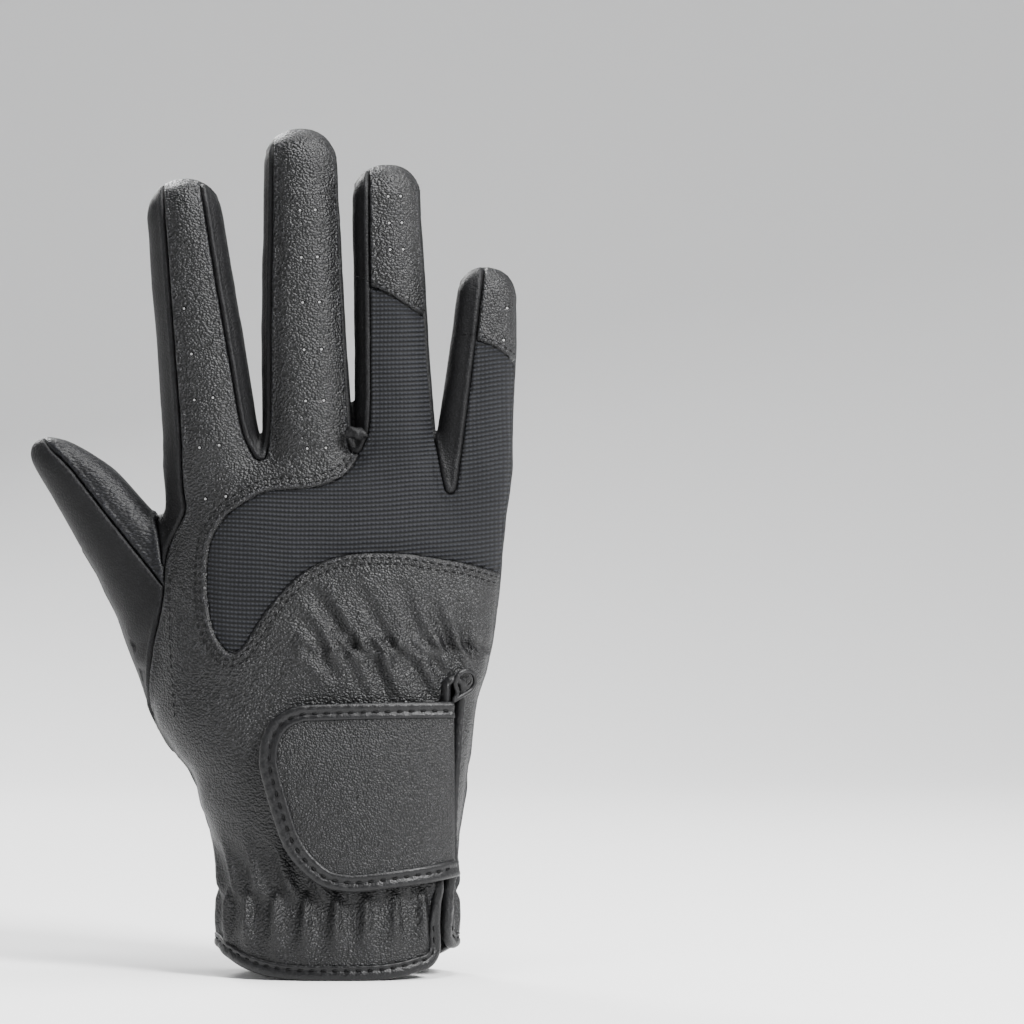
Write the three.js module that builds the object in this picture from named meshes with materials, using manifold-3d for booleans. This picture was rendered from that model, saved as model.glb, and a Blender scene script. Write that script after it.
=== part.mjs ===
// A right-hand riding glove in the form that a hand gives it, fingers up and the back of the hand
// towards -Y. Leather and knit panels meet at seams, a bound slit opens the cuff on the little
// finger's side, and a bound tab closes over it. Millimetres, +Z along the forearm to the fingers,
// origin at the middle of the wrist opening.
import * as THREE from "three";
import { mergeVertices } from "three/addons/utils/BufferGeometryUtils.js";
import Module from "manifold-3d";

const wasm = await Module();
wasm.setup();

// Driving sizes of the hand form
const knuckleHeight = 140;
const palmWidth = 92;
const palmDepth = 30;
const wristWidth = 64;
const wristDepth = 42;
const middleLength = 85;
const fingerWidth = 22;
const fingerDepth = 19;
const thumbReach = 80.5;
const thumbWidth = 25;
const thumbDepth = 22;
const fingerCurl = 7;
const thumbCurl = 7;
const palmArch = 3;

// Cloth, seams and gathers
const leatherWall = 1.2;
const seamGap = 0.4;
const gatherCount = 24;
const gatherDepth = 1.4;
const shirrDepth = 1.3;
const hemRise = 4;

// Binding, slit and closing tab
const bindingWidth = 4;
const bindingProud = 0.7;
const slitHeight = 77;
const slitWidth = 1.2;
const slitCorner = 5;
const tabReach = 49.5;
const tabHeight = 50;
const tabFoot = 20.5;
const tabLift = 1.9;
const tabThickness = 1.6;
const tabBindingWidth = 4.5;
const tabBindingProud = 0.5;
const holeWidth = 1;
const knotRadius = 1.7;
const knotLength = 2.6;

const halfPalm = palmWidth / 2;
const halfWrist = wristWidth / 2;
const halfPalmDepth = palmDepth / 2;
const bindingHalf = bindingWidth / 2;
const pointsPerGather = 2;
const pointsAround = pointsPerGather * gatherCount;
const plainPointsAround = 24;
const fingerSides = 12;
const innerFingerSides = 8;
const roundness = 2.3;
const skirt = 10;

// The hand without its fingers. height: share of knuckleHeight. wrist: how far the wrist's width and
// depth rule. left, right: shares of the half width. back, palm: shares of the half depth.
const bodySections = [
  { height: 0.0, wrist: 1, left: 0.94, right: 1.05, back: 0.97, palm: 0.97 },
  { height: 0.085, wrist: 1, left: 0.95, right: 1.06, back: 0.97, palm: 0.97 },
  { height: 0.13, wrist: 1, left: 0.945, right: 1.055, back: 0.93, palm: 0.94 },
  { height: 0.17, wrist: 1, left: 0.955, right: 1.05, back: 0.92, palm: 0.93 },
  { height: 0.22, wrist: 1, left: 0.985, right: 1.06, back: 0.92, palm: 0.94 },
  { height: 0.28, wrist: 1, left: 1.05, right: 1.095, back: 0.92, palm: 0.96 },
  { height: 0.37, wrist: 1, left: 1.17, right: 1.147, back: 0.9, palm: 0.97 },
  { height: 0.43, wrist: 0.5, left: 1.075, right: 0.97, back: 1.0, palm: 1.07 },
  { height: 0.5, wrist: 0, left: 1.03, right: 0.85, back: 1.1, palm: 1.22 },
  { height: 0.57, wrist: 0, left: 1.055, right: 0.92, back: 1.07, palm: 1.2 },
  { height: 0.63, wrist: 0, left: 1.03, right: 0.955, back: 1.04, palm: 1.15 },
  { height: 0.7, wrist: 0, left: 0.98, right: 0.98, back: 1.0, palm: 1.08 },
  { height: 0.775, wrist: 0, left: 0.963, right: 1.004, back: 0.95, palm: 1.02 },
  { height: 0.84, wrist: 0, left: 0.965, right: 1.02, back: 0.88, palm: 0.94 },
  { height: 0.9, wrist: 0, left: 0.975, right: 1.02, back: 0.78, palm: 0.82 },
  { height: 0.95, wrist: 0, left: 0.975, right: 1.0, back: 0.64, palm: 0.66 },
  { height: 1.0, wrist: 0, left: 0.93, right: 0.94, back: 0.36, palm: 0.38 },
];

// Fingers, from a root inside the palm to the tip. rootX, tipX: shares of the half palm width.
// rootZ: share of knuckleHeight. reach: tip above the knuckles, share of middleLength.
// Widths and depths: shares of fingerWidth and fingerDepth.
const fingers = {
  index: { rootX: -0.641, tipX: -0.896, rootZ: 0.835, reach: 0.843,
    rootWidth: 1.31, tipWidth: 0.89, rootDepth: 1.1, tipDepth: 0.9 },
  middle: { rootX: -0.12, tipX: -0.196, rootZ: 0.85, reach: 1,
    rootWidth: 1.2, tipWidth: 0.86, rootDepth: 1.14, tipDepth: 0.9 },
  ring: { rootX: 0.394, tipX: 0.317, rootZ: 0.85, reach: 0.885,
    rootWidth: 1.06, tipWidth: 0.81, rootDepth: 1.08, tipDepth: 0.86 },
  pinky: { rootX: 0.789, tipX: 0.925, rootZ: 0.8, reach: 0.561,
    rootWidth: 1.07, tipWidth: 0.7, rootDepth: 1.0, tipDepth: 0.76 },
};
const fingerRows = [0, 0.22, 0.46, 0.7, 0.92];
const rootNarrowing = 0.84;
const tipAngles = [26, 50, 72];
const innerTipAngles = [32, 64];

// Seams along the fingers, as shares of the half width at the tip and at the root. in: towards the
// thumb. out: towards the little finger.
const fingerSeams = {
  back: {
    index: { tipIn: -0.48, rootIn: -0.62, tipOut: 0.58, rootOut: 0.72 },
    middle: { tipIn: -0.72, rootIn: -0.82, tipOut: 0.97, rootOut: 0.9 },
    ring: { tipIn: -0.5, rootIn: -0.62, tipOut: 0.95, rootOut: 0.92 },
    pinky: { tipIn: -0.15, rootIn: -0.36 },
  },
  palm: {
    index: { tipIn: -0.24, rootIn: -0.16, tipOut: 0.86, rootOut: 0.86 },
    middle: { tipIn: -0.86, rootIn: -0.86, tipOut: 0.86, rootOut: 0.86 },
    ring: { tipIn: -0.86, rootIn: -0.86, tipOut: 0.86, rootOut: 0.86 },
    pinky: { tipIn: -0.86, rootIn: -0.86 },
  },
};
// Lowest points of the strips between the fingers, on the back and on the palm side. x: share of the
// half palm width. z: share of knuckleHeight.
const stripFeet = [
  { near: "index", far: "middle", backX: -0.411, backZ: 0.972, palmX: -0.4, palmZ: 0.91 },
  { near: "middle", far: "ring", backX: 0.15, backZ: 0.985, palmX: 0.14, palmZ: 0.935 },
  { near: "ring", far: "pinky", backX: 0.704, backZ: 0.906, palmX: 0.66, palmZ: 0.885 },
];

// The thumb's middle line. x: share of thumbReach. z: share of knuckleHeight. width, depth: shares of
// thumbWidth and thumbDepth. y: share of thumbDepth by which the middle lies towards the palm.
const thumbSections = [
  { x: -0.33, z: 0.37, width: 0.72, depth: 0.9, y: 0.2 },
  { x: -0.435, z: 0.505, width: 1.08, depth: 1.25, y: 0.3 },
  { x: -0.52, z: 0.621, width: 1.12, depth: 1.22, y: 0.33 },
  { x: -0.6, z: 0.714, width: 1.0, depth: 1.1, y: 0.31 },
  { x: -0.665, z: 0.779, width: 0.94, depth: 1.0, y: 0.28 },
  { x: -0.74, z: 0.842, width: 0.87, depth: 0.91, y: 0.24 },
  { x: -0.819, z: 0.904, width: 0.76, depth: 0.8, y: 0.2 },
  { x: -0.903, z: 0.95, width: 0.57, depth: 0.66, y: 0.17 },
  { x: -0.968, z: 0.98, width: 0.36, depth: 0.44, y: 0.15 },
];
const thumbTip = { x: -0.998, z: 0.995 };

// Outlines of the panels on the hand. x: share of the half palm width. z: share of knuckleHeight.
const knitOutline = [
  { x: 0.165, z: 0.989 }, { x: 0.152, z: 0.964 }, { x: 0.088, z: 0.937 }, { x: -0.024, z: 0.92 },
  { x: -0.147, z: 0.912 }, { x: -0.293, z: 0.911 }, { x: -0.393, z: 0.906 }, { x: -0.48, z: 0.889 },
  { x: -0.576, z: 0.87 }, { x: -0.639, z: 0.846 }, { x: -0.693, z: 0.816 }, { x: -0.715, z: 0.783 },
  { x: -0.722, z: 0.717 }, { x: -0.698, z: 0.657 }, { x: -0.652, z: 0.621 }, { x: -0.587, z: 0.596 },
  { x: -0.517, z: 0.606 }, { x: -0.463, z: 0.633 }, { x: -0.404, z: 0.666 }, { x: -0.328, z: 0.698 },
  { x: -0.224, z: 0.736 }, { x: -0.117, z: 0.762 }, { x: 0.029, z: 0.783 }, { x: 0.205, z: 0.791 },
  { x: 0.44, z: 0.79 }, { x: 0.604, z: 0.781 }, { x: 0.798, z: 0.771 }, { x: 0.99, z: 0.752 },
  { x: 1.3, z: 0.72 }, { x: 1.31, z: 1.7 }, { x: 0.1, z: 1.71 },
];
const ringTipOutline = [
  { x: 0.11, z: 1.317 }, { x: 0.235, z: 1.301 }, { x: 0.324, z: 1.29 }, { x: 0.457, z: 1.264 },
  { x: 0.57, z: 1.242 }, { x: 0.65, z: 1.225 }, { x: 0.66, z: 1.7 }, { x: 0.1, z: 1.69 },
];
const pinkyTipOutline = [
  { x: 0.76, z: 1.203 }, { x: 0.887, z: 1.196 }, { x: 0.998, z: 1.18 }, { x: 1.091, z: 1.154 },
  { x: 1.13, z: 1.12 }, { x: 1.4, z: 1.1 }, { x: 1.41, z: 1.5 }, { x: 0.75, z: 1.51 },
];
// The side strip runs on below the index finger into the crotch of the thumb.
const sideStripBackEnd = [
  { x: -0.874, z: 0.966 }, { x: -0.863, z: 0.906 }, { x: -0.84, z: 0.871 }, { x: -0.891, z: 0.841 },
  { x: -0.95, z: 0.808 }, { x: -0.985, z: 0.75 }, { x: -1.0, z: 0.8 }, { x: -1.04, z: 0.875 },
];
const sideStripPalmEnd = [
  { x: -0.813, z: 0.862 }, { x: -0.74, z: 0.831 }, { x: -0.665, z: 0.804 }, { x: -0.622, z: 0.76 },
  { x: -0.61, z: 0.714 }, { x: -0.652, z: 0.668 }, { x: -0.739, z: 0.643 }, { x: -0.848, z: 0.647 },
  { x: -0.9, z: 0.693 }, { x: -0.95, z: 0.757 }, { x: -0.995, z: 0.829 }, { x: -1.04, z: 0.875 },
];
const thumbBackOutline = [
  { x: -1.035, z: 0.88 }, { x: -0.98, z: 0.82 }, { x: -0.975, z: 0.743 }, { x: -0.987, z: 0.691 },
  { x: -1.02, z: 0.652 }, { x: -1.063, z: 0.573 }, { x: -1.074, z: 0.471 }, { x: -1.1, z: 0.4 },
  { x: -2.1, z: 0.39 }, { x: -2.11, z: 1.2 }, { x: -1.2, z: 1.19 },
];
const thumbPalmOutline = [
  { x: -1.035, z: 0.88 }, { x: -0.9, z: 0.82 }, { x: -0.7, z: 0.79 }, { x: -0.596, z: 0.777 },
  { x: -0.498, z: 0.768 }, { x: -0.378, z: 0.743 }, { x: -0.239, z: 0.681 }, { x: -0.12, z: 0.614 },
  { x: -0.065, z: 0.551 }, { x: -0.098, z: 0.476 }, { x: -0.163, z: 0.401 }, { x: -0.263, z: 0.353 },
  { x: -0.385, z: 0.309 }, { x: -0.53, z: 0.284 }, { x: -0.689, z: 0.281 }, { x: -0.87, z: 0.307 },
  { x: -2.1, z: 0.33 }, { x: -2.11, z: 1.2 }, { x: -1.2, z: 1.19 },
];
// The thumb's two panels meet in a line over its back and another beside its outer edge.
const thumbSeamBack = [
  { x: -1.72, z: 1.02 }, { x: -1.67, z: 0.991 }, { x: -1.585, z: 0.97 }, { x: -1.478, z: 0.929 },
  { x: -1.343, z: 0.871 }, { x: -1.226, z: 0.824 }, { x: -1.109, z: 0.777 }, { x: -0.99, z: 0.728 },
  { x: -0.8, z: 0.65 }, { x: -0.81, z: 0.35 }, { x: -2.1, z: 0.34 }, { x: -2.11, z: 1.1 },
];
const thumbSeamPalm = [
  { x: -1.75, z: 1.02 }, { x: -1.74, z: 0.985 }, { x: -1.639, z: 0.919 }, { x: -1.535, z: 0.863 },
  { x: -1.46, z: 0.8 }, { x: -1.5, z: 0.7 }, { x: -2.1, z: 0.69 }, { x: -2.11, z: 1.1 },
];
// The tab's outline. x: share of tabReach back from its sewn edge. z: share of tabHeight above its foot.
const tabOutline = [
  { x: -0.02, z: 0.07 }, { x: 0.13, z: 0.04 }, { x: 0.44, z: 0 }, { x: 0.57, z: 0.002 },
  { x: 0.68, z: 0.035 }, { x: 0.79, z: 0.13 }, { x: 0.87, z: 0.25 }, { x: 0.93, z: 0.42 },
  { x: 0.985, z: 0.61 }, { x: 1.0, z: 0.7 }, { x: 0.985, z: 0.82 }, { x: 0.925, z: 0.92 },
  { x: 0.82, z: 0.978 }, { x: 0.68, z: 0.994 }, { x: 0.0, z: 1.01 },
];
// Air holes. along: shares of the finger's length from root to tip. across: shares of its half width.
const airHoles = [
  { finger: "index", across: [-0.21], along: [0.63] },
  { finger: "index", across: [-0.15], along: [0.5] },
  { finger: "index", across: [-0.2, 0.2], along: [0.37, 0.235, 0.09] },
  { finger: "middle", across: [0.02, 0.42], along: [0.79, 0.67, 0.555, 0.435, 0.305, 0.185] },
  { finger: "ring", across: [0.08, 0.44], along: [0.91, 0.835, 0.76] },
  { finger: "pinky", across: [0.72], along: [0.86] },
  { finger: "pinky", across: [0.66], along: [0.745] },
];

const signedPower = (value, power) => Math.sign(value) * Math.abs(value) ** power;
const mix = (a, b, share) => a + (b - a) * share;
const onBody = (row) => new THREE.Vector2(row.x * halfPalm, row.z * knuckleHeight);
const onThumb = (row) => new THREE.Vector3(row.x * thumbReach, 0, row.z * knuckleHeight);
const bump = (value, low, high) => {
  const share = (value - low) / (high - low);
  return share <= 0 || share >= 1 ? 0 : Math.sin(Math.PI * share) ** 2;
};

// Half widths and half depths of the body at a height, from the two nearest rows
function bodyAt(z) {
  const height = THREE.MathUtils.clamp(z / knuckleHeight, 0, 1);
  const i = Math.max(1, bodySections.findIndex((row) => row.height >= height));
  const low = bodySections[i - 1];
  const high = bodySections[i];
  const share = (height - low.height) / (high.height - low.height);
  const width = (row) => mix(halfPalm, halfWrist, row.wrist);
  const depth = (row) => mix(palmDepth, wristDepth, row.wrist) / 2;
  return {
    left: mix(low.left * width(low), high.left * width(high), share),
    right: mix(low.right * width(low), high.right * width(high), share),
    back: mix(low.back * depth(low), high.back * depth(high), share),
    palm: mix(low.palm * depth(low), high.palm * depth(high), share),
  };
}

// A point on the body at an angle (0 at the little finger's side, a quarter turn at the palm),
// lifted out of the surface by offset
function bodyPoint(angle, z, offset = 0) {
  const row = bodyAt(z);
  const middle = (row.right - row.left) / 2;
  const half = (row.right + row.left) / 2 + offset;
  const depth = (Math.sin(angle) < 0 ? row.back : row.palm) + offset;
  return new THREE.Vector3(
    middle + half * signedPower(Math.cos(angle), 2 / roundness),
    depth * signedPower(Math.sin(angle), 2 / roundness),
    z,
  );
}

// The outward normal of the body, from one step round it and one step up
function surfaceNormal(angle, z) {
  const round = bodyPoint(angle + 0.03, z).sub(bodyPoint(angle - 0.03, z));
  const up = bodyPoint(angle, z + 1).sub(bodyPoint(angle, z - 1));
  return round.cross(up).normalize();
}

// The angle on the back of the hand of a point x at height z
function backAngle(x, z) {
  const row = bodyAt(z);
  const middle = (row.right - row.left) / 2;
  const half = (row.right + row.left) / 2;
  const share = THREE.MathUtils.clamp((x - middle) / half, -0.999, 0.999);
  return 2 * Math.PI - Math.acos(signedPower(share, roundness / 2));
}

// Elastic draws the cuff into even folds, and a shorter elastic shirrs the back of the hand.
function foldDepth(index, angle, z) {
  const fold = 0.5 - 0.5 * Math.cos((2 * Math.PI * (index % pointsPerGather)) / pointsPerGather);
  const cuff = gatherDepth * bump(z, 0.04 * knuckleHeight, 0.26 * knuckleHeight);
  const onBack = Math.sin(angle) < 0 ? bump(Math.cos(angle), -0.3, 1.1) ** 0.5 : 0;
  const shirr = shirrDepth * onBack * bump(z, 0.52 * knuckleHeight, 0.76 * knuckleHeight);
  return fold * (cuff + shirr);
}

// The hand's natural bend towards the palm, as a shift in y of every finished point
function bendShift(x, z) {
  const finger = Math.max(0, z - 0.8 * knuckleHeight) / (0.2 * knuckleHeight + middleLength);
  const inFingers = THREE.MathUtils.smoothstep(x, -1.25 * halfPalm, -1.02 * halfPalm);
  const thumb = Math.max(0, -0.9 * halfPalm - x) / (thumbReach - 0.9 * halfPalm);
  const arch = THREE.MathUtils.smoothstep(z, 0.3 * knuckleHeight, 0.7 * knuckleHeight);
  const across = Math.min(1, Math.abs(x) / halfPalm);
  const curl = fingerCurl * finger ** 2 * inFingers + thumbCurl * Math.min(1, thumb);
  return curl + palmArch * arch * across ** 2;
}

// A closed mesh as a solid that can be joined and cut, its faces turned outward
function solidFrom(geometry) {
  const plain = geometry.clone();
  plain.deleteAttribute("normal");
  plain.deleteAttribute("uv");
  const merged = mergeVertices(plain, 1e-4);
  const corners = Array.from(merged.index.array);
  const vertProperties = merged.attributes.position.array;
  const make = (triVerts) => new wasm.Manifold(new wasm.Mesh({ numProp: 3, vertProperties, triVerts }));
  const solid = make(new Uint32Array(corners));
  return solid.volume() > 0 ? solid : make(new Uint32Array(corners.reverse()));
}

function solidOf(points, faces) {
  const geometry = new THREE.BufferGeometry().setFromPoints(points);
  geometry.setIndex(faces);
  return solidFrom(geometry);
}

const joined = (solids) => solids.reduce((all, one) => all.add(one));

function centreOf(ring) {
  const sum = ring.reduce((total, point) => total.add(point), new THREE.Vector3());
  return sum.divideScalar(ring.length);
}

// A solid through rings of equally many points, with a pole at each end
function loft(rings, startPole = centreOf(rings[0]), endPole = centreOf(rings.at(-1))) {
  const count = rings[0].length;
  const points = [...rings.flat(), startPole, endPole];
  const start = points.length - 2;
  const end = points.length - 1;
  const faces = [];
  for (let r = 0; r + 1 < rings.length; r++) {
    for (let i = 0; i < count; i++) {
      const a = r * count + i;
      const b = r * count + ((i + 1) % count);
      faces.push(a, b, b + count, a, b + count, a + count);
    }
  }
  const last = (rings.length - 1) * count;
  for (let i = 0; i < count; i++) {
    const next = (i + 1) % count;
    faces.push(start, next, i, end, last + i, last + next);
  }
  return solidOf(points, faces);
}

// A flat outline in x, z carried from y low to y high
function prism(outline, low, high) {
  const contour = THREE.ShapeUtils.isClockWise(outline) ? [...outline].reverse() : outline;
  const count = contour.length;
  const points = [low, high].flatMap((y) => contour.map((point) => new THREE.Vector3(point.x, y, point.y)));
  const faces = [];
  for (const [a, b, c] of THREE.ShapeUtils.triangulateShape(contour, [])) {
    faces.push(a, b, c, count + c, count + b, count + a);
  }
  for (let i = 0; i < count; i++) {
    const next = (i + 1) % count;
    faces.push(next, i, count + i, next, count + i, count + next);
  }
  return solidOf(points, faces);
}

// A wall of the given width that stands along a line of x, z points, from y low to y high. It is
// mitred at shallow turns and starts anew at sharp ones.
function wallAlong(line, width, low, high) {
  const steps = line.slice(1).map((end, i) => end.clone().sub(line[i]).normalize());
  const piece = (first, last) => {
    const rings = [];
    for (let i = first; i <= last; i++) {
      const before = steps[Math.max(first, i - 1)];
      const after = steps[Math.min(last - 1, i)];
      const along = before.clone().add(after).normalize();
      const side = new THREE.Vector2(along.y, -along.x).multiplyScalar(width / 2 / along.dot(before));
      const ahead = (i === last ? width / 2 : 0) - (i === first ? width / 2 : 0);
      const point = line[i].clone().addScaledVector(along, ahead);
      const left = point.clone().add(side);
      const right = point.clone().sub(side);
      const corners = [[left, low], [left, high], [right, high], [right, low]];
      rings.push(corners.map(([corner, y]) => new THREE.Vector3(corner.x, y, corner.y)));
    }
    return loft(rings);
  };
  const walls = [];
  let first = 0;
  for (let i = 1; i <= steps.length; i++) {
    if (i === steps.length || steps[i].dot(steps[i - 1]) < 0.6) {
      walls.push(piece(first, i));
      first = i;
    }
  }
  return joined(walls);
}

// What an outline on the back or on the palm side holds, and the same grown by the seam's gap. The
// gap is wider where back meets palm, because the hand's bend moves long faces a little.
function zone(side, outline) {
  const reach = 2 * Math.max(palmDepth, wristDepth);
  const low = side === "back" ? -reach : -0.05;
  const high = side === "back" ? 0 : reach;
  const edge = [...outline, outline[0], outline[1]];
  const wide = prism(outline, low - 2 * seamGap, high + 2 * seamGap);
  const rim = wallAlong(edge, 2 * seamGap, low - 2 * seamGap, high + 2 * seamGap);
  return { solid: prism(outline, low, high), grown: wide.add(rim) };
}

// The body's form at an offset from its surface. Folded: with the gathers. Clear: drawn in so far that
// it stays inside them.
function bodyForm(offset, folded, clear = false) {
  const count = clear ? plainPointsAround : pointsAround;
  const rows = clear ? bodySections.filter((row, i) => i % 2 === 0) : bodySections;
  const rings = rows.map((row, r) => {
    const ring = [];
    const z = row.height * knuckleHeight;
    for (let i = 0; i < count; i++) {
      const angle = (2 * Math.PI * i) / count;
      const cuff = gatherDepth * bump(z, 0.01 * knuckleHeight, 0.3 * knuckleHeight);
      const onBack = Math.sin(angle) < 0 ? 1 : 0;
      const shirr = shirrDepth * onBack * bump(z, 0.48 * knuckleHeight, 0.8 * knuckleHeight);
      const fold = folded ? foldDepth(i, angle, z) : clear ? cuff + shirr : 0;
      const top = r === rows.length - 1 ? offset : 0;
      ring.push(bodyPoint(angle, z, offset - fold).setZ(z + top));
    }
    return ring;
  });
  rings.unshift(rings[0].map((point) => point.clone().setZ(clear ? -2 * skirt : -skirt)));
  return loft(rings);
}

function ringAround(middle, across, halfWidth, halfDepth, sides) {
  const ring = [];
  for (let i = 0; i < sides; i++) {
    const angle = (2 * Math.PI * i) / sides;
    const aside = halfWidth * signedPower(Math.cos(angle), 2 / roundness);
    const point = middle.clone().addScaledVector(across, aside);
    point.y += halfDepth * signedPower(Math.sin(angle), 2 / roundness);
    ring.push(point);
  }
  return ring;
}

// A finger's middle line and half widths, the same for its form and for its seams
function fingerLine(finger) {
  const root = onBody({ x: finger.rootX, z: finger.rootZ });
  const tip = new THREE.Vector2(finger.tipX * halfPalm, knuckleHeight + finger.reach * middleLength);
  const length = root.distanceTo(tip);
  const along = tip.clone().sub(root).normalize();
  const across = new THREE.Vector2(along.y, -along.x);
  const halfWidthAt = (share) => (mix(finger.rootWidth, finger.tipWidth, share) * fingerWidth) / 2;
  const halfDepthAt = (share) => (mix(finger.rootDepth, finger.tipDepth, share) * fingerDepth) / 2;
  return { root, tip, along, across, length, halfWidthAt, halfDepthAt };
}

function fingerForm(finger, inset) {
  const line = fingerLine(finger);
  const spatial = (flat) => new THREE.Vector3(flat.x, 0, flat.y);
  const tipRound = line.halfWidthAt(1);
  const straight = line.length - tipRound;
  const sides = inset ? innerFingerSides : fingerSides;
  const ringAt = (distance, scale) => {
    const share = distance / line.length;
    const middle = spatial(line.root).addScaledVector(spatial(line.along), distance);
    const halfWidth = (line.halfWidthAt(share) - inset) * scale;
    const halfDepth = (line.halfDepthAt(share) - inset) * scale;
    return ringAround(middle, spatial(line.across), halfWidth, halfDepth, sides);
  };
  const rings = fingerRows.map((share, i) =>
    ringAt((share / fingerRows.at(-1)) * straight, i === 0 ? rootNarrowing : 1));
  for (const degrees of inset ? innerTipAngles : tipAngles) {
    const angle = THREE.MathUtils.degToRad(degrees);
    rings.push(ringAt(straight + (tipRound - inset) * Math.sin(angle), Math.cos(angle) ** 0.85));
  }
  return loft(rings, spatial(line.root), spatial(line.tip).addScaledVector(spatial(line.along), -inset));
}

function thumbForm(inset) {
  const rings = thumbSections.map((row, i) => {
    const before = onThumb(thumbSections[Math.max(0, i - 1)]);
    const along = onThumb(thumbSections[i + 1] ?? thumbTip).sub(before).normalize();
    const across = new THREE.Vector3(along.z, 0, -along.x);
    const middle = onThumb(row).setY(row.y * thumbDepth).addScaledVector(along, i > 6 ? -inset : 0);
    const halfWidth = Math.max(0.8, (row.width * thumbWidth) / 2 - inset);
    const halfDepth = Math.max(0.8, (row.depth * thumbDepth) / 2 - inset);
    return ringAround(middle, across, halfWidth, halfDepth, inset ? innerFingerSides : fingerSides);
  });
  const tip = onThumb(thumbTip).setY(thumbSections.at(-1).y * thumbDepth);
  const inward = onThumb(thumbSections.at(-1)).sub(onThumb(thumbTip)).setY(0).normalize();
  return loft(rings, centreOf(rings[0]), tip.addScaledVector(inward, 1.6 * inset));
}

// A seam along a finger on one side, from beyond the tip to the knuckles
function fingerSeam(side, name, edge) {
  const line = fingerLine(fingers[name]);
  const seam = fingerSeams[side][name];
  return [1.12, 0.26].map((share) => {
    const aside = mix(seam["root" + edge], seam["tip" + edge], share) * line.halfWidthAt(share);
    const middle = line.root.clone().addScaledVector(line.along, share * line.length);
    return middle.addScaledVector(line.across, aside);
  });
}

// The strip between two fingers runs down both sides of the gap to a foot.
function stripOutline(side, strip) {
  const foot = onBody({ x: strip[side + "X"], z: strip[side + "Z"] });
  const near = fingerSeam(side, strip.near, "Out");
  const far = fingerSeam(side, strip.far, "In").reverse();
  const left = foot.clone().add(new THREE.Vector2(-1.4, 0.6));
  const right = foot.clone().add(new THREE.Vector2(1.4, 0.5));
  return [...near, left, right, ...far];
}

// The side strip of the index finger, closed outside the finger
function sideStripOutline(side) {
  const end = side === "back" ? sideStripBackEnd : sideStripPalmEnd;
  const outside = [{ x: -1.35, z: 1.2 }, { x: -1.36, z: 1.6 }];
  return [...fingerSeam(side, "index", "In"), ...end.map(onBody), ...outside.map(onBody)];
}

// The binding's middle line: up one edge of the slit, round its top, down the other and round the hem
const hemAt = (angle) => {
  const thumbSide = Math.max(0, -Math.cos(angle)) ** 3;
  const littleSide = Math.max(0, Math.cos(angle)) ** 3;
  return hemRise * (-0.8 + 1.9 * thumbSide + 1.9 * littleSide);
};
const slitX = (z) => (0.945 + 0.1 * (Math.max(0, z) / slitHeight) ** 2) * halfWrist;
function slitAngle(z, away) {
  const angle = backAngle(slitX(z), z);
  const step = 0.02;
  const speed = bodyPoint(angle + step, z).distanceTo(bodyPoint(angle - step, z)) / (2 * step);
  return angle + away / speed;
}
const slitAside = bindingHalf + slitWidth / 2;
function bindingPath() {
  const stations = [];
  const top = slitHeight - slitAside;
  const legRows = 6;
  const footOf = (side) => {
    const aside = side * (slitAside + slitCorner);
    return bindingHalf + hemAt(slitAngle(bindingHalf, aside));
  };
  const leg = (side, i) => {
    const z = mix(footOf(side) + slitCorner, top, i / legRows);
    return { angle: slitAngle(z, side * slitAside), z };
  };
  const corner = (side, degrees) => {
    const turn = THREE.MathUtils.degToRad(degrees);
    const z = footOf(side) + slitCorner * (1 - Math.sin(turn));
    return { angle: slitAngle(z, side * (slitAside + slitCorner * (1 - Math.cos(turn)))), z };
  };
  for (let i = 0; i <= legRows; i++) {
    stations.push(leg(1, i));
  }
  for (const degrees of [30, 60, 90, 120, 150]) {
    const turn = THREE.MathUtils.degToRad(degrees);
    const z = top + slitAside * Math.sin(turn);
    stations.push({ angle: slitAngle(z, slitAside * Math.cos(turn)), z });
  }
  for (let i = legRows; i >= 0; i--) {
    stations.push(leg(-1, i));
  }
  stations.push(corner(-1, 30), corner(-1, 60));
  const from = slitAngle(bindingHalf, -slitAside - slitCorner);
  const to = slitAngle(bindingHalf, slitAside + slitCorner) - 2 * Math.PI;
  const hemSteps = 32;
  for (let i = 0; i <= hemSteps; i++) {
    const angle = mix(from, to, i / hemSteps);
    stations.push({ angle, z: bindingHalf + hemAt(angle) });
  }
  stations.push(corner(1, 60), corner(1, 30));
  return stations;
}
const stations = bindingPath();

// A flat strip carried once round the binding's middle line
function bindingSolid(grow) {
  const halfWidth = bindingHalf + grow;
  const outer = bindingProud + grow;
  const inner = -leatherWall - gatherDepth - grow;
  const corners = [[-halfWidth, inner], [halfWidth, inner], [halfWidth, outer], [-halfWidth, outer]];
  const points = stations.flatMap((station, i) => {
    const before = stations.at(i - 1);
    const after = stations[(i + 1) % stations.length];
    const along = bodyPoint(after.angle, after.z).sub(bodyPoint(before.angle, before.z)).normalize();
    const middle = bodyPoint(station.angle, station.z);
    const out = surfaceNormal(station.angle, station.z);
    out.addScaledVector(along, -out.dot(along)).normalize();
    const side = new THREE.Vector3().crossVectors(along, out).normalize();
    return corners.map(([aside, lift]) =>
      middle.clone().addScaledVector(side, aside).addScaledVector(out, lift));
  });
  const faces = [];
  for (let r = 0; r < stations.length; r++) {
    const next = (r + 1) % stations.length;
    for (let i = 0; i < 4; i++) {
      const j = (i + 1) % 4;
      faces.push(4 * r + i, 4 * r + j, 4 * next + j, 4 * r + i, 4 * next + j, 4 * next + i);
    }
  }
  return solidOf(points, faces);
}

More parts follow.
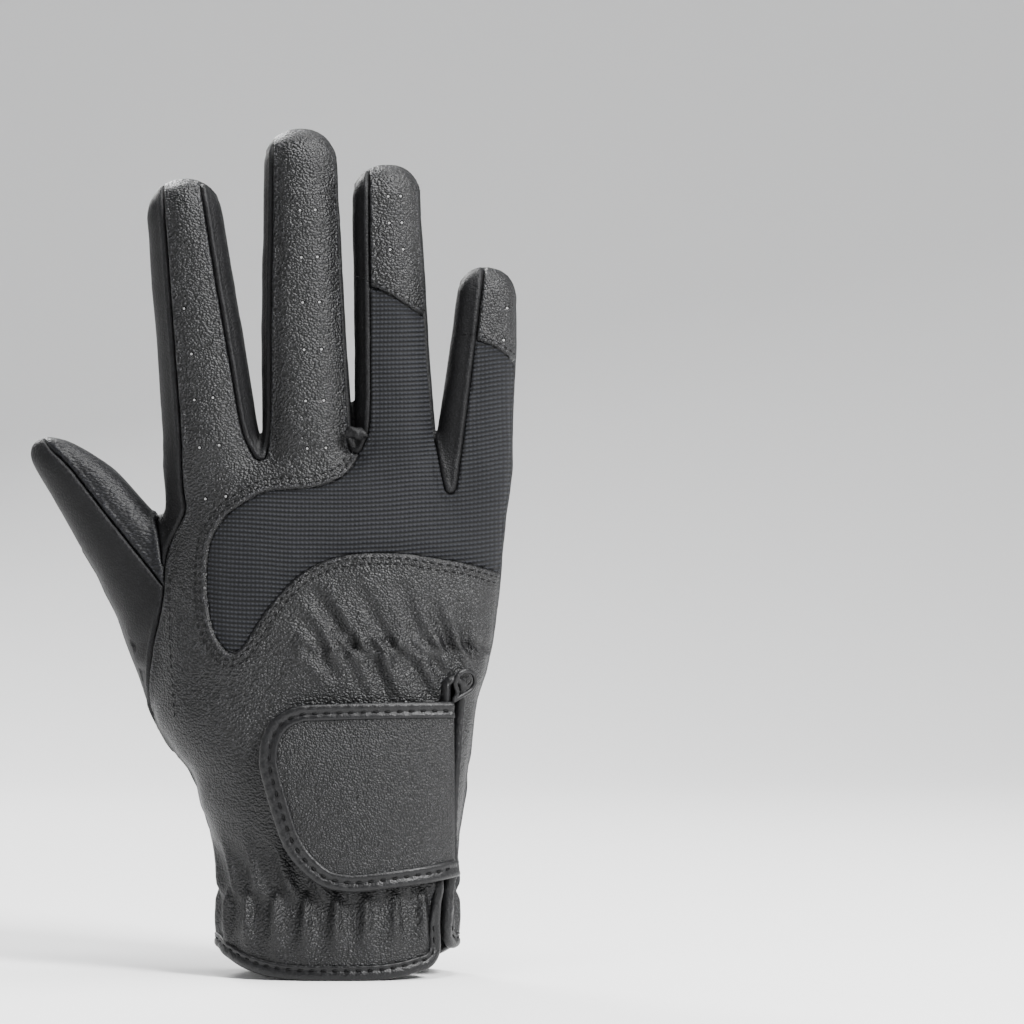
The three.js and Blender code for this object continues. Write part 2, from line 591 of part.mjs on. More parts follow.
// What lies below the hem and inside the slit, as one flat outline for each side of the hand
function belowBinding() {
  const onPalm = (station) => Math.sin(station.angle) > 0;
  const start = stations.findIndex(onPalm);
  const turned = [...stations.slice(start), ...stations.slice(0, start)];
  const length = turned.findIndex((station) => !onPalm(station));
  const cut = (line, low, high) => {
    const points = line.map((station) => {
      const point = bodyPoint(station.angle, station.z);
      return new THREE.Vector2(point.x, point.z);
    });
    const first = points[0];
    const last = points.at(-1);
    const firstX = Math.sign(first.x) * wristWidth;
    const lastX = Math.sign(last.x) * wristWidth;
    points.push(new THREE.Vector2(lastX, last.y), new THREE.Vector2(lastX, -2 * skirt));
    points.push(new THREE.Vector2(firstX, -2 * skirt), new THREE.Vector2(firstX, first.y));
    return prism(points, low, high);
  };
  return cut(turned.slice(0, length), -0.1, wristDepth).add(cut(turned.slice(length), -wristDepth, 0.1));
}

// Square needle holes through the backs of the fingers
function airHole(name, along, across) {
  const line = fingerLine(fingers[name]);
  const middle = line.root.clone().addScaledVector(line.along, along * line.length);
  middle.addScaledVector(line.across, across * line.halfWidthAt(along));
  const corners = [[-1, 0], [0, -1], [1, 0], [0, 1]].map(([x, z]) =>
    middle.clone().add(new THREE.Vector2(x, z).multiplyScalar(holeWidth * Math.SQRT1_2)));
  return prism(corners, -2 * palmDepth, 0);
}
const holes = airHoles.flatMap((row) =>
  row.along.flatMap((along) => row.across.map((across) => airHole(row.finger, along, across))));

const fingerForms = (inset) => Object.values(fingers).map((finger) => fingerForm(finger, inset));
const innerBody = bodyForm(-leatherWall, false, true);
const inner = joined([innerBody, thumbForm(leatherWall), ...fingerForms(leatherWall)]);
const outer = joined([bodyForm(0, true), thumbForm(0), ...fingerForms(0)]);
let rest = outer.subtract(joined([inner, belowBinding(), bindingSolid(seamGap), ...holes]));

// Takes what the zones hold out of the leather that is left, and a seam's gap round it
function take(zones) {
  const panel = rest.intersect(joined(zones.map((one) => one.solid)));
  rest = rest.subtract(joined(zones.map((one) => one.grown)));
  return panel;
}

const panels = {};
for (const strip of stripFeet) {
  const zones = ["back", "palm"].map((side) => zone(side, stripOutline(side, strip)));
  panels["fourchette_" + strip.near + "_" + strip.far] = take(zones);
}
panels.index_side_strip = take(["back", "palm"].map((side) => zone(side, sideStripOutline(side))));
const thumb = take([zone("back", thumbBackOutline.map(onBody)), zone("palm", thumbPalmOutline.map(onBody))]);
const thumbZones = [zone("back", thumbSeamBack.map(onBody)), zone("palm", thumbSeamPalm.map(onBody))];
panels.thumb_back_panel = thumb.intersect(joined(thumbZones.map((one) => one.solid)));
panels.thumb_panel = thumb.subtract(joined(thumbZones.map((one) => one.grown)));
const wholeSide = [{ x: -3, z: -1 }, { x: 3, z: -1.01 }, { x: 3.01, z: 3 }, { x: -3.01, z: 3.02 }];
panels.palm_panel = take([zone("palm", wholeSide.map(onBody))]);
panels.ring_tip = take([zone("back", ringTipOutline.map(onBody))]);
panels.pinky_tip = take([zone("back", pinkyTipOutline.map(onBody))]);
panels.knit_panel = take([zone("back", knitOutline.map(onBody))]);
panels.back_leather = rest;

// A cut can leave crumbs thinner than a hair beside a panel, so each panel is its largest body.
for (const name of Object.keys(panels)) {
  const bodies = panels[name].decompose();
  panels[name] = bodies.sort((a, b) => b.volume() - a.volume())[0];
}

// The tab lies over the slit at a lift from the leather, and its binding folds round its edge.
const onTab = (row) => new THREE.Vector2(halfWrist - row.x * tabReach, tabFoot + row.z * tabHeight);
const tabRim = tabOutline.map(onTab);
const tabMiddle = new THREE.Vector2(halfWrist - tabReach / 2, tabFoot + tabHeight / 2);
function drawnIn(rim, distance) {
  return rim.map((point, i) => {
    const before = rim[Math.max(0, i - 1)];
    const after = rim[Math.min(rim.length - 1, i + 1)];
    const side = new THREE.Vector2(after.y - before.y, before.x - after.x).setLength(distance);
    const inward = side.dot(tabMiddle.clone().sub(point)) > 0 ? side : side.negate();
    return point.clone().add(inward);
  });
}
const tabZone = (distance) => prism(drawnIn(tabRim, distance), -2 * wristDepth, 0);
const layer = (low, high) => bodyForm(high, false).subtract(bodyForm(low, false));
const tabTop = tabLift + tabThickness;
const sewnEdge = halfWrist - seamGap;
const clearCorners = [[-palmWidth, 0], [sewnEdge, 0], [sewnEdge, knuckleHeight], [-palmWidth, knuckleHeight]];
const clearOfEdge = prism(clearCorners.map(([x, z]) => new THREE.Vector2(x, z)), -2 * wristDepth, 0);
panels.closing_tab = layer(tabLift, tabTop).intersect(tabZone(tabBindingWidth)).intersect(clearOfEdge);
panels.tab_binding = layer(tabLift - tabBindingProud / 2, tabTop + tabBindingProud)
  .intersect(tabZone(0))
  .subtract(tabZone(tabBindingWidth - seamGap))
  .intersect(clearOfEdge);
panels.cuff_binding = bindingSolid(0);

// The knot of rolled leather in the crotch between middle and ring finger
const knot = new THREE.CapsuleGeometry(knotRadius, knotLength, 3, 8);
knot.rotateZ(Math.PI / 2 + 0.2).translate(0.143 * halfPalm, -0.565 * halfPalmDepth, 1.02 * knuckleHeight);
panels.crotch_knot = solidFrom(knot);

const finishes = {
  knit_panel: { color: 0x2a2f37, roughness: 0.85 },
  palm_panel: { color: 0x27282b, roughness: 0.62 },
  cuff_binding: { color: 0x222326, roughness: 0.5 },
  tab_binding: { color: 0x222326, roughness: 0.5 },
};
const leatherFinish = { color: 0x2b2c2f, roughness: 0.55 };
const glove = new THREE.Group();
for (const [name, solid] of Object.entries(panels)) {
  const mesh = solid.getMesh();
  const points = new Float32Array(mesh.vertProperties);
  for (let i = 0; i < points.length; i += 3) {
    points[i + 1] += bendShift(points[i], points[i + 2]);
  }
  const geometry = new THREE.BufferGeometry();
  geometry.setAttribute("position", new THREE.BufferAttribute(points, 3));
  geometry.setIndex(Array.from(mesh.triVerts));
  geometry.computeVertexNormals();
  const material = new THREE.MeshStandardMaterial({ ...(finishes[name] ?? leatherFinish), metalness: 0 });
  const node = new THREE.Mesh(geometry, material);
  node.name = name;
  glove.add(node);
}

export default glove;
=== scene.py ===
import math

import bpy
import numpy as np
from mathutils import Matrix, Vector
from mathutils.bvhtree import BVHTree
from mathutils.kdtree import KDTree


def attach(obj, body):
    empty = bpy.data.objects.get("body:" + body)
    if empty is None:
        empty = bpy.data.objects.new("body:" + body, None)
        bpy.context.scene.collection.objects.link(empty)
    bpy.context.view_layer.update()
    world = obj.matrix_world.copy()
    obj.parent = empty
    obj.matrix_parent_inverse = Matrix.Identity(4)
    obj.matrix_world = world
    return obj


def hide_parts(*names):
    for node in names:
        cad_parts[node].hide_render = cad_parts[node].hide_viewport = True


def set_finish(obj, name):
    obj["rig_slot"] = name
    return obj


# A right-hand riding glove, worn form, worked out in millimetres and put in as metres.
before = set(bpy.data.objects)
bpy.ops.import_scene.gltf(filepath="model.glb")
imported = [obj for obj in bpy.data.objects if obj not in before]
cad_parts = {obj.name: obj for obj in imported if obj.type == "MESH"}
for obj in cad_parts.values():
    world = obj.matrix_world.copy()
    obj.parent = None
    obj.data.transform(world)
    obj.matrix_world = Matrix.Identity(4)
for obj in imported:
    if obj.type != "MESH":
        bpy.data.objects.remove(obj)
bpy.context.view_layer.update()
print("stage: frame loaded")

randomness = np.random.default_rng(11)
millimetre = 0.001

hand = {
    "knuckle": 140, "halfPalm": 46, "halfWrist": 32, "palmDepth": 15, "wristDepth": 21,
    "middle": 85, "fingerWidth": 22, "fingerDepth": 19, "thumbReach": 80.5, "thumbWidth": 25,
    "thumbDepth": 22, "power": 2.3, "wall": 1.2, "pitch": 0.74,
}
blend = {"thumb": 7, "fingers": 0.8, "roots": 4, "top": 4, "fingersFrom": 100}
pose = {
    "fingerFrom": 112, "fingerOver": 113, "fingerBend": 7, "thumbFrom": -41.4, "thumbOver": 39.1,
    "thumbBend": 7, "archFrom": 42, "archTo": 98, "arch": 3, "edgeFrom": -57.5, "edgeTo": -46.92,
}
bodyRows = np.array([
    # height, wrist, left, right, back, palm
    [-0.12, 1, 0.94, 1.05, 0.97, 0.97], [0.0, 1, 0.94, 1.05, 0.97, 0.97],
    [0.085, 1, 0.95, 1.06, 0.97, 0.97], [0.13, 1, 0.945, 1.055, 0.93, 0.94],
    [0.17, 1, 0.955, 1.05, 0.92, 0.93], [0.22, 1, 0.985, 1.06, 0.92, 0.94],
    [0.28, 1, 1.05, 1.095, 0.92, 0.96], [0.37, 1, 1.17, 1.147, 0.9, 0.97],
    [0.43, 0.5, 1.075, 0.97, 1.0, 1.07], [0.5, 0, 1.03, 0.85, 1.1, 1.22],
    [0.57, 0, 1.055, 0.92, 1.07, 1.2], [0.63, 0, 1.03, 0.955, 1.04, 1.15],
    [0.7, 0, 0.98, 0.98, 1.0, 1.08], [0.775, 0, 0.963, 1.004, 0.95, 1.02],
    [0.84, 0, 0.965, 1.02, 0.88, 0.94], [0.9, 0, 0.975, 1.02, 0.78, 0.82],
    [0.95, 0, 0.975, 1.0, 0.64, 0.66], [1.0, 0, 0.93, 0.94, 0.36, 0.38],
    [1.1, 0, 0.9, 0.9, 0.2, 0.2],
])
fingerRows = {
    # rootX, tipX, rootZ, reach, rootWidth, tipWidth, rootDepth, tipDepth
    "index": (-0.641, -0.896, 0.835, 0.843, 1.31, 0.89, 1.1, 0.9),
    "middle": (-0.12, -0.196, 0.85, 1, 1.2, 0.86, 1.14, 0.9),
    "ring": (0.394, 0.317, 0.85, 0.885, 1.06, 0.81, 1.08, 0.86),
    "pinky": (0.789, 0.925, 0.8, 0.561, 1.07, 0.7, 1.0, 0.76),
}
thumbRows = np.array([
    # x, z, width, depth, y
    [-0.33, 0.37, 0.72, 0.9, 0.2], [-0.435, 0.505, 1.08, 1.25, 0.3], [-0.52, 0.621, 1.12, 1.22, 0.33],
    [-0.6, 0.714, 1.0, 1.1, 0.31], [-0.665, 0.779, 0.94, 1.0, 0.28], [-0.74, 0.842, 0.87, 0.91, 0.24],
    [-0.819, 0.906, 0.77, 0.8, 0.2], [-0.903, 0.957, 0.6, 0.68, 0.17], [-0.966, 0.991, 0.4, 0.47, 0.15],
    [-0.999, 1.009, 0.0, 0.0, 0.15],
])


# A smooth step from 0 at low to 1 at high: 3 t squared minus 2 t cubed.
def smoothStep(value, low, high):
    share = np.clip((value - low) / (high - low), 0, 1)
    return share * share * (3 - 2 * share)


# A bell of height 1 at 0: e to the minus square of value over width.
def bell(value, width):
    return np.exp(-((value / width) ** 2))


# A power that keeps the sign: the value's sign times its size to the power.
def signedPower(value, power):
    return np.sign(value) * np.abs(value) ** power


# A mix of two values: the first, plus the share of their difference.
def between(pair, share):
    return pair[0] + (pair[1] - pair[0]) * share


# Vectors of length 1: each over its own length.
def unit(vectors):
    return vectors / np.maximum(np.linalg.norm(vectors, axis=-1, keepdims=True), 1e-6)


# The way along a line up to each point: the running sum of its steps' lengths.
def runLength(line):
    return np.concatenate([[0], np.cumsum(np.linalg.norm(np.diff(line, axis=0), axis=1))])


# A curve through a table's rows: cubic spans whose slopes are harmonic means of their neighbours'.
def smoothRows(keys, values, at):
    steps = np.diff(keys)
    slopes = np.diff(values) / steps
    before, after = slopes[:-1], slopes[1:]
    total = before + after
    inner = np.where(before * after > 0, 2 * before * after / np.where(total == 0, 1, total), 0)
    ends = np.concatenate([[slopes[0]], inner, [slopes[-1]]])
    at = np.clip(at, keys[0], keys[-1])
    i = np.clip(np.searchsorted(keys, at) - 1, 0, len(steps) - 1)
    t = (at - keys[i]) / steps[i]
    rise = values[i] * (1 + 2 * t) * (1 - t) ** 2 + values[i + 1] * t * t * (3 - 2 * t)
    return rise + steps[i] * (ends[i] * t * (1 - t) ** 2 - ends[i + 1] * t * t * (1 - t))


# Half widths and half depths of the body's rows in millimetres: shares of the palm's and the wrist's, mixed.
wristShare = bodyRows[:, 1]
rowWidth = between((hand["halfPalm"], hand["halfWrist"]), wristShare)
rowDepth = between((hand["palmDepth"], hand["wristDepth"]), wristShare)
bodySizes = bodyRows[:, 2:6] * np.stack([rowWidth, rowWidth, rowDepth, rowDepth], 1)


# Left, right, back and palm half sizes of the body at a height.
def bodyAt(z):
    height = z / hand["knuckle"]
    return [smoothRows(bodyRows[:, 0], bodySizes[:, column], height) for column in range(4)]


# Distance to a rounded section: its size beyond 1, over the slope of that size.
def sectionDistance(across, halfWidth, deep, halfDepth, ahead, dome):
    power = hand["power"]
    u = np.abs(across) / halfWidth
    v = np.abs(deep) / halfDepth
    flat = np.maximum((u ** power + v ** power) ** (1 / power), 1e-3)
    flatSlope = np.hypot(u ** (power - 1) / halfWidth, v ** (power - 1) / halfDepth) * flat ** (1 - power)
    if dome is None:
        return (flat - 1) / np.maximum(flatSlope, 0.02)
    s = np.maximum(ahead, 0) / dome
    size = np.maximum((flat ** 2.35 + s * s) ** (1 / 2.35), 1e-3)
    slope = size ** -1.35 * np.hypot(flat ** 1.35 * flatSlope, 0.85 * s / dome)
    return (size - 1) / np.maximum(slope, 0.03)


# The nearer of two distances, rounded where they meet over the given width.
def softMin(a, b, width):
    near = np.maximum(width - np.abs(a - b), 0) / width
    return np.minimum(a, b) - near * near * width / 4


# The body's form: the section at each height, closed above the knuckles.
def bodyField(x, y, z):
    left, right, back, palm = bodyAt(z)
    halfDepth = np.where(y < 0, back, palm)
    side = sectionDistance(x - (right - left) / 2, (right + left) / 2, y, halfDepth, 0, None)
    return -softMin(-side, hand["knuckle"] - z, blend["top"])


# A finger's root, tip, direction, length and half sizes.
def fingerLine(name):
    rootX, tipX, rootZ, reach, rootWidth, tipWidth, rootDepth, tipDepth = fingerRows[name]
    root = np.array([rootX * hand["halfPalm"], rootZ * hand["knuckle"]])
    tip = np.array([tipX * hand["halfPalm"], hand["knuckle"] + reach * hand["middle"]])
    length = np.linalg.norm(tip - root)
    along = (tip - root) / length
    return {
        "root": root, "along": along, "across": np.array([along[1], -along[0]]), "length": length,
        "widths": np.array([rootWidth, tipWidth]) * hand["fingerWidth"] / 2,
        "depths": np.array([rootDepth, tipDepth]) * hand["fingerDepth"] / 2,
    }


fingers = {name: fingerLine(name) for name in fingerRows}


# A finger's form: its section along its length, a domed tip, and a root that sinks into the palm.
def fingerField(line, x, y, z):
    dx, dz = x - line["root"][0], z - line["root"][1]
    distance = dx * line["along"][0] + dz * line["along"][1]
    across = dx * line["across"][0] + dz * line["across"][1]
    share = np.clip(distance / line["length"], 0, 1)
    halfWidth, halfDepth = between(line["widths"], share), between(line["depths"], share)
    dome = line["widths"][1]
    ahead = distance - (line["length"] - dome)
    shape = sectionDistance(across, halfWidth, y, halfDepth, ahead, dome)
    return shape + 5 * (1 - smoothStep(distance, -4, 24)) + np.maximum(-distance, 0)


# The thumb's rows seen along its chord: place, middle's shift, half width, half depth, y.
thumbPoints = thumbRows[:, :2] * [hand["thumbReach"], hand["knuckle"]]
thumbChord = unit(thumbPoints[-1] - thumbPoints[0])
thumbPlaces = (thumbPoints - thumbPoints[0]) @ thumbChord
thumbShifts = (thumbPoints - thumbPoints[0]) @ [thumbChord[1], -thumbChord[0]]


# How far the thumb's middle lies towards the palm beside a point.
def thumbMiddle(x, z):
    place = (x - thumbPoints[0, 0]) * thumbChord[0] + (z - thumbPoints[0, 1]) * thumbChord[1]
    return smoothRows(thumbPlaces, thumbRows[:, 4], place) * hand["thumbDepth"]


# The thumb's form: across its chord from a bowed middle line, with a tip that rounds to nothing.
def thumbField(x, y, z):
    dx, dz = x - thumbPoints[0, 0], z - thumbPoints[0, 1]
    place = dx * thumbChord[0] + dz * thumbChord[1]
    across = dx * thumbChord[1] - dz * thumbChord[0] - smoothRows(thumbPlaces, thumbShifts, place)
    halfWidth = smoothRows(thumbPlaces, thumbRows[:, 2] ** 2, place) ** 0.5 * hand["thumbWidth"] / 2
    halfDepth = smoothRows(thumbPlaces, thumbRows[:, 3] ** 2, place) ** 0.5 * hand["thumbDepth"] / 2
    deep = y - smoothRows(thumbPlaces, thumbRows[:, 4], place) * hand["thumbDepth"]
    shape = sectionDistance(across, np.maximum(halfWidth, 1.2), deep, np.maximum(halfDepth, 1.2), 0, None)
    tip = place - thumbPlaces[-1] + 0.4
    return -softMin(-shape, -tip, 1) + 6 * (1 - smoothStep(place, 0, 16))


# The whole hand: body, thumb and fingers, the fingers kept apart and rounded into the palm.
def handField(x, y, z):
    field = softMin(bodyField(x, y, z), thumbField(x, y, z), blend["thumb"])
    near = z > blend["fingersFrom"]
    if np.any(near):
        spread = [fingerField(line, x[near], y[near], z[near]) for line in fingers.values()]
        apart = spread[0]
        for one in spread[1:]:
            apart = softMin(apart, one, blend["fingers"])
        field[near] = softMin(field[near], apart, blend["roots"])
    return field


# The hand's bend towards the palm, as a shift along y: the fingers' grows with the square of their height,
# the thumb's with its reach, and the palm's arch with the square of the distance from the middle.
def bendShift(x, z):
    finger = np.maximum(0, z - pose["fingerFrom"]) / pose["fingerOver"]
    inFingers = smoothStep(x, pose["edgeFrom"], pose["edgeTo"])
    thumb = np.clip((pose["thumbFrom"] - x) / pose["thumbOver"], 0, 1)
    arch = smoothStep(z, pose["archFrom"], pose["archTo"]) * np.minimum(1, np.abs(x) / hand["halfPalm"]) ** 2
    return pose["fingerBend"] * finger ** 2 * inFingers + pose["thumbBend"] * thumb + pose["arch"] * arch


# Places moved by the bend.
def bend(places):
    places = places.copy()
    places[:, 1] += bendShift(places[:, 0], places[:, 2])
    return places


# Vertices at the mean of the crossings in each cell, and a face across each grid edge that is cut.
def surfaceNet(field, low, pitch):
    shape = np.array(field.shape) - 1
    cells, crossings, faces = [], [], []
    for axis in range(3):
        a, b = [other for other in range(3) if other != axis]
        start = np.moveaxis(np.moveaxis(field, axis, 0)[:-1], 0, axis)
        end = np.moveaxis(np.moveaxis(field, axis, 0)[1:], 0, axis)
        at = np.argwhere((start < 0) != (end < 0))
        at = at[(at[:, a] > 0) & (at[:, b] > 0) & (at[:, a] < shape[a]) & (at[:, b] < shape[b])]
        first, last = start[tuple(at.T)], end[tuple(at.T)]
        crossing = at.astype(float)
        crossing[:, axis] += first / (first - last)
        around = []
        for stepA, stepB in ((-1, -1), (0, -1), (0, 0), (-1, 0)):
            cell = at.copy()
            cell[:, a] += stepA
            cell[:, b] += stepB
            around.append(np.ravel_multi_index(tuple(cell.T), shape))
        face = np.stack(around, 1)
        turned = (first > 0) != (axis == 1)
        face[turned] = face[turned][:, ::-1]
        faces.append(face)
        cells += around
        crossings += [crossing] * 4
    ids, where = np.unique(np.concatenate(cells), return_inverse=True)
    crossings = np.concatenate(crossings)
    counts = np.bincount(where)
    points = np.stack([np.bincount(where, crossings[:, k]) / counts for k in range(3)], 1)
    return low + points * pitch, np.searchsorted(ids, np.concatenate(faces))


# The field's slope: its difference a step ahead and a step behind on each axis, over two steps.
def fieldSlope(points, step=0.05):
    slope = np.empty_like(points)
    for axis in range(3):
        ahead, behind = points.copy(), points.copy()
        ahead[:, axis] += step
        behind[:, axis] -= step
        slope[:, axis] = (handField(*ahead.T) - handField(*behind.T)) / (2 * step)
    return slope


# Moves points onto the surface: each goes back by its distance along the slope.
def ontoSurface(points, rounds=2):
    for _ in range(rounds):
        slope = fieldSlope(points)
        size = np.maximum(np.sum(slope ** 2, 1), 0.05)
        shift = slope * (handField(*points.T) / size)[:, None]
        points = points - np.clip(shift, -1, 1)
    return points


# The mean of each vertex's neighbours, from the faces' edges.
def neighbourMean(values, edges, count):
    total = np.zeros((count, values.shape[1]))
    for k in range(values.shape[1]):
        total[:, k] = np.bincount(edges[:, 0], values[edges[:, 1], k], count)
        total[:, k] += np.bincount(edges[:, 1], values[edges[:, 0], k], count)
    number = np.bincount(edges.ravel(), minlength=count)
    return total / np.maximum(number, 1)[:, None]


# The sides of every face: from each corner to the next one.
def sidesOf(faces):
    return np.concatenate([faces[:, [k, (k + 1) % faces.shape[1]]] for k in range(faces.shape[1])])


# Every edge once: the faces' sides, lower corner first, without repeats.
def edgesOf(faces):
    return np.unique(np.sort(sidesOf(faces), axis=1), axis=0)


pitch = hand["pitch"]
low, high = np.array([-84.0, -26.0, -7.0]), np.array([52.0, 28.0, 227.5])
counts = np.ceil((high - low) / pitch).astype(int)
axes = [low[k] + pitch * np.arange(counts[k]) for k in range(3)]
field = np.empty(counts)
for i, x in enumerate(axes[0]):
    ys, zs = np.meshgrid(axes[1], axes[2], indexing="ij")
    field[i] = handField(np.full(ys.size, x), ys.ravel(), zs.ravel()).reshape(ys.shape)
points, faces = surfaceNet(field, low, pitch)
edges = edgesOf(faces)
for _ in range(3):
    points = points + 0.5 * (neighbourMean(points, edges, len(points)) - points)
    points = ontoSurface(points, 1)
points = ontoSurface(points, 2)
print("stage: hand surface", len(points), len(faces))

# Panel outlines on the hand. x: share of half the palm's width. z: share of the knuckles' height.
outlineRows = {
    "knit": [
        (0.165, 0.989), (0.152, 0.964), (0.088, 0.937), (-0.024, 0.92), (-0.147, 0.912), (-0.293, 0.911),
        (-0.393, 0.906), (-0.48, 0.889), (-0.576, 0.87), (-0.639, 0.846), (-0.693, 0.816), (-0.715, 0.783),
        (-0.722, 0.717), (-0.698, 0.657), (-0.652, 0.621), (-0.587, 0.596), (-0.517, 0.606), (-0.463, 0.633),
        (-0.404, 0.666), (-0.328, 0.698), (-0.224, 0.736), (-0.117, 0.762), (0.029, 0.783), (0.205, 0.791),
        (0.44, 0.79), (0.604, 0.781), (0.798, 0.771), (0.99, 0.752), (1.3, 0.72), (1.31, 1.7), (0.1, 1.71),
    ],
    "ringTip": [
        (0.11, 1.317), (0.235, 1.301), (0.324, 1.29), (0.457, 1.264), (0.57, 1.242), (0.65, 1.225),
        (0.66, 1.7), (0.1, 1.69),
    ],
    "pinkyTip": [
        (0.76, 1.203), (0.887, 1.196), (0.998, 1.18), (1.091, 1.154), (1.13, 1.12), (1.4, 1.1),
        (1.41, 1.5), (0.75, 1.51),
    ],
    "sideBack": [
        (-0.874, 0.966), (-0.863, 0.906), (-0.84, 0.871), (-0.891, 0.841), (-0.95, 0.808), (-0.985, 0.75),
        (-1.0, 0.8), (-1.04, 0.875),
    ],
    "sidePalm": [
        (-0.813, 0.862), (-0.74, 0.831), (-0.665, 0.804), (-0.622, 0.76), (-0.61, 0.714), (-0.652, 0.668),
        (-0.739, 0.643), (-0.848, 0.647), (-0.9, 0.693), (-0.95, 0.757), (-0.995, 0.829), (-1.04, 0.875),
    ],
    "thumbBack": [
        (-1.035, 0.88), (-0.98, 0.82), (-0.975, 0.743), (-0.987, 0.691), (-1.02, 0.652), (-1.063, 0.573),
        (-1.074, 0.471), (-1.1, 0.4), (-2.1, 0.39), (-2.11, 1.2), (-1.2, 1.19),
    ],
    "thumbPalm": [
        (-1.035, 0.88), (-0.9, 0.82), (-0.7, 0.79), (-0.596, 0.777), (-0.498, 0.768), (-0.378, 0.743),
        (-0.239, 0.681), (-0.12, 0.614), (-0.065, 0.551), (-0.098, 0.476), (-0.163, 0.401),
        (-0.263, 0.353), (-0.385, 0.309), (-0.53, 0.284), (-0.689, 0.281), (-0.87, 0.307), (-2.1, 0.33),
        (-2.11, 1.2), (-1.2, 1.19),
    ],
    "thumbSeamBack": [
        (-1.72, 1.02), (-1.67, 0.991), (-1.585, 0.97), (-1.478, 0.929), (-1.343, 0.871), (-1.226, 0.824),
        (-1.109, 0.777), (-0.99, 0.728), (-0.8, 0.65), (-0.81, 0.35), (-2.1, 0.34), (-2.11, 1.1),
    ],
    "thumbSeamPalm": [
        (-1.75, 1.02), (-1.74, 0.985), (-1.639, 0.919), (-1.535, 0.863), (-1.46, 0.8), (-1.5, 0.7),
        (-2.1, 0.69), (-2.11, 1.1),
    ],
}
# Seams along the fingers, as shares of half the width at the tip and at the root.
seamRows = {
    "back": {"index": (-0.48, -0.62, 0.58, 0.72), "middle": (-0.72, -0.82, 0.97, 0.9),
             "ring": (-0.5, -0.62, 0.95, 0.92), "pinky": (-0.15, -0.36, 1, 1)},
    "palm": {"index": (-0.24, -0.16, 0.86, 0.86), "middle": (-0.86, -0.86, 0.86, 0.86),
             "ring": (-0.86, -0.86, 0.86, 0.86), "pinky": (-0.86, -0.86, 1, 1)},
}
stripRows = {
    # near finger, far finger, then the feet on the back and on the palm side
    "indexMiddle": ("index", "middle", (-0.411, 0.972), (-0.4, 0.91)),
    "middleRing": ("middle", "ring", (0.15, 0.985), (0.14, 0.935)),
    "ringPinky": ("ring", "pinky", (0.704, 0.906), (0.66, 0.885)),
}
panelRows = [
    # piece, CAD node, slot
    ("fourchetteIndexMiddle", "fourchette_index_middle", "strip_leather"),
    ("fourchetteMiddleRing", "fourchette_middle_ring", "strip_leather"),
    ("fourchetteRingPinky", "fourchette_ring_pinky", "strip_leather"),
    ("indexSideStrip", "index_side_strip", "strip_leather"),
    ("thumbBackPanel", "thumb_back_panel", "strip_leather"),
    ("thumbPanel", "thumb_panel", "palm_leather"),
    ("palmPanel", "palm_panel", "palm_leather"),
    ("ringTip", "ring_tip", "back_leather"),
    ("pinkyTip", "pinky_tip", "back_leather"),
    ("knitPanel", "knit_panel", "knit"),
    ("backLeather", "back_leather", "back_leather"),
]
panelNumber = {row[0]: i for i, row in enumerate(panelRows)}
cutAway = len(panelRows)
handScale = np.array([hand["halfPalm"], hand["knuckle"]], float)


# Cuts each corner at a quarter of its sides, again and again, so that an outline runs smoothly.
def rounded(outline, rounds=3):
    for _ in range(rounds):
        ahead = np.roll(outline, -1, axis=0)
        outline = np.stack([0.75 * outline + 0.25 * ahead, 0.25 * outline + 0.75 * ahead], 1).reshape(-1, 2)
    return outline


# Whether points lie in an outline: an odd number of its sides is to their right.
def insideOutline(x, z, outline):
    inside = np.zeros(np.shape(x), bool)
    for (x0, z0), (x1, z1) in zip(outline, np.roll(outline, -1, axis=0)):
        if z0 != z1:
            inside ^= ((z0 > z) != (z1 > z)) & (x < (x1 - x0) * (z - z0) / (z1 - z0) + x0)
    return inside


# A place on a finger: up its middle by a share of its length, then aside by a share of its half width.
def onFinger(name, share, aside):
    line = fingers[name]
    middle = line["root"] + line["along"] * share * line["length"]
    return middle + line["across"] * (aside * between(line["widths"], share))


# Points on a finger's seam, at shares of its length.
def fingerSeam(side, name, outer, shares=(1.12, 0.9, 0.7, 0.5, 0.26)):
    tipIn, rootIn, tipOut, rootOut = seamRows[side][name]
    ends = (rootOut, tipOut) if outer else (rootIn, tipIn)
    return np.array([onFinger(name, share, between(ends, share)) for share in shares])


# A side strip's outline: down one finger's seam, round the foot, and up the other finger's seam.
def stripOutline(side, near, far, foot):
    feet = np.array(foot) * handScale + np.array([[-1.8, 0.9], [-0.9, -0.5], [0.9, -0.5], [1.8, 0.8]])
    return rounded(np.concatenate([fingerSeam(side, near, True), feet, fingerSeam(side, far, False)[::-1]]))


outlines = {name: rounded(np.array(rows) * handScale) for name, rows in outlineRows.items()}
zones = [
    (stripOutline("back", near, far, backFoot), stripOutline("palm", near, far, palmFoot))
    for near, far, backFoot, palmFoot in stripRows.values()
]
outside = [(-1.35, 1.2), (-1.36, 1.6)]
sideRows = {"back": outlineRows["sideBack"], "palm": outlineRows["sidePalm"]}
zones.append(tuple(
    rounded(np.concatenate([fingerSeam(side, "index", False), np.array(rows + outside) * handScale]))
    for side, rows in sideRows.items()))


# The angle on the body's section: 0 at the little finger's side, a quarter turn at the palm.
def angleOf(x, y, z):
    left, right, back, palm = bodyAt(z)
    across = (x - (right - left) / 2) / ((right + left) / 2)
    deep = y / np.where(y < 0, back, palm)
    half = hand["power"] / 2
    return np.arctan2(signedPower(deep, half), signedPower(across, half))


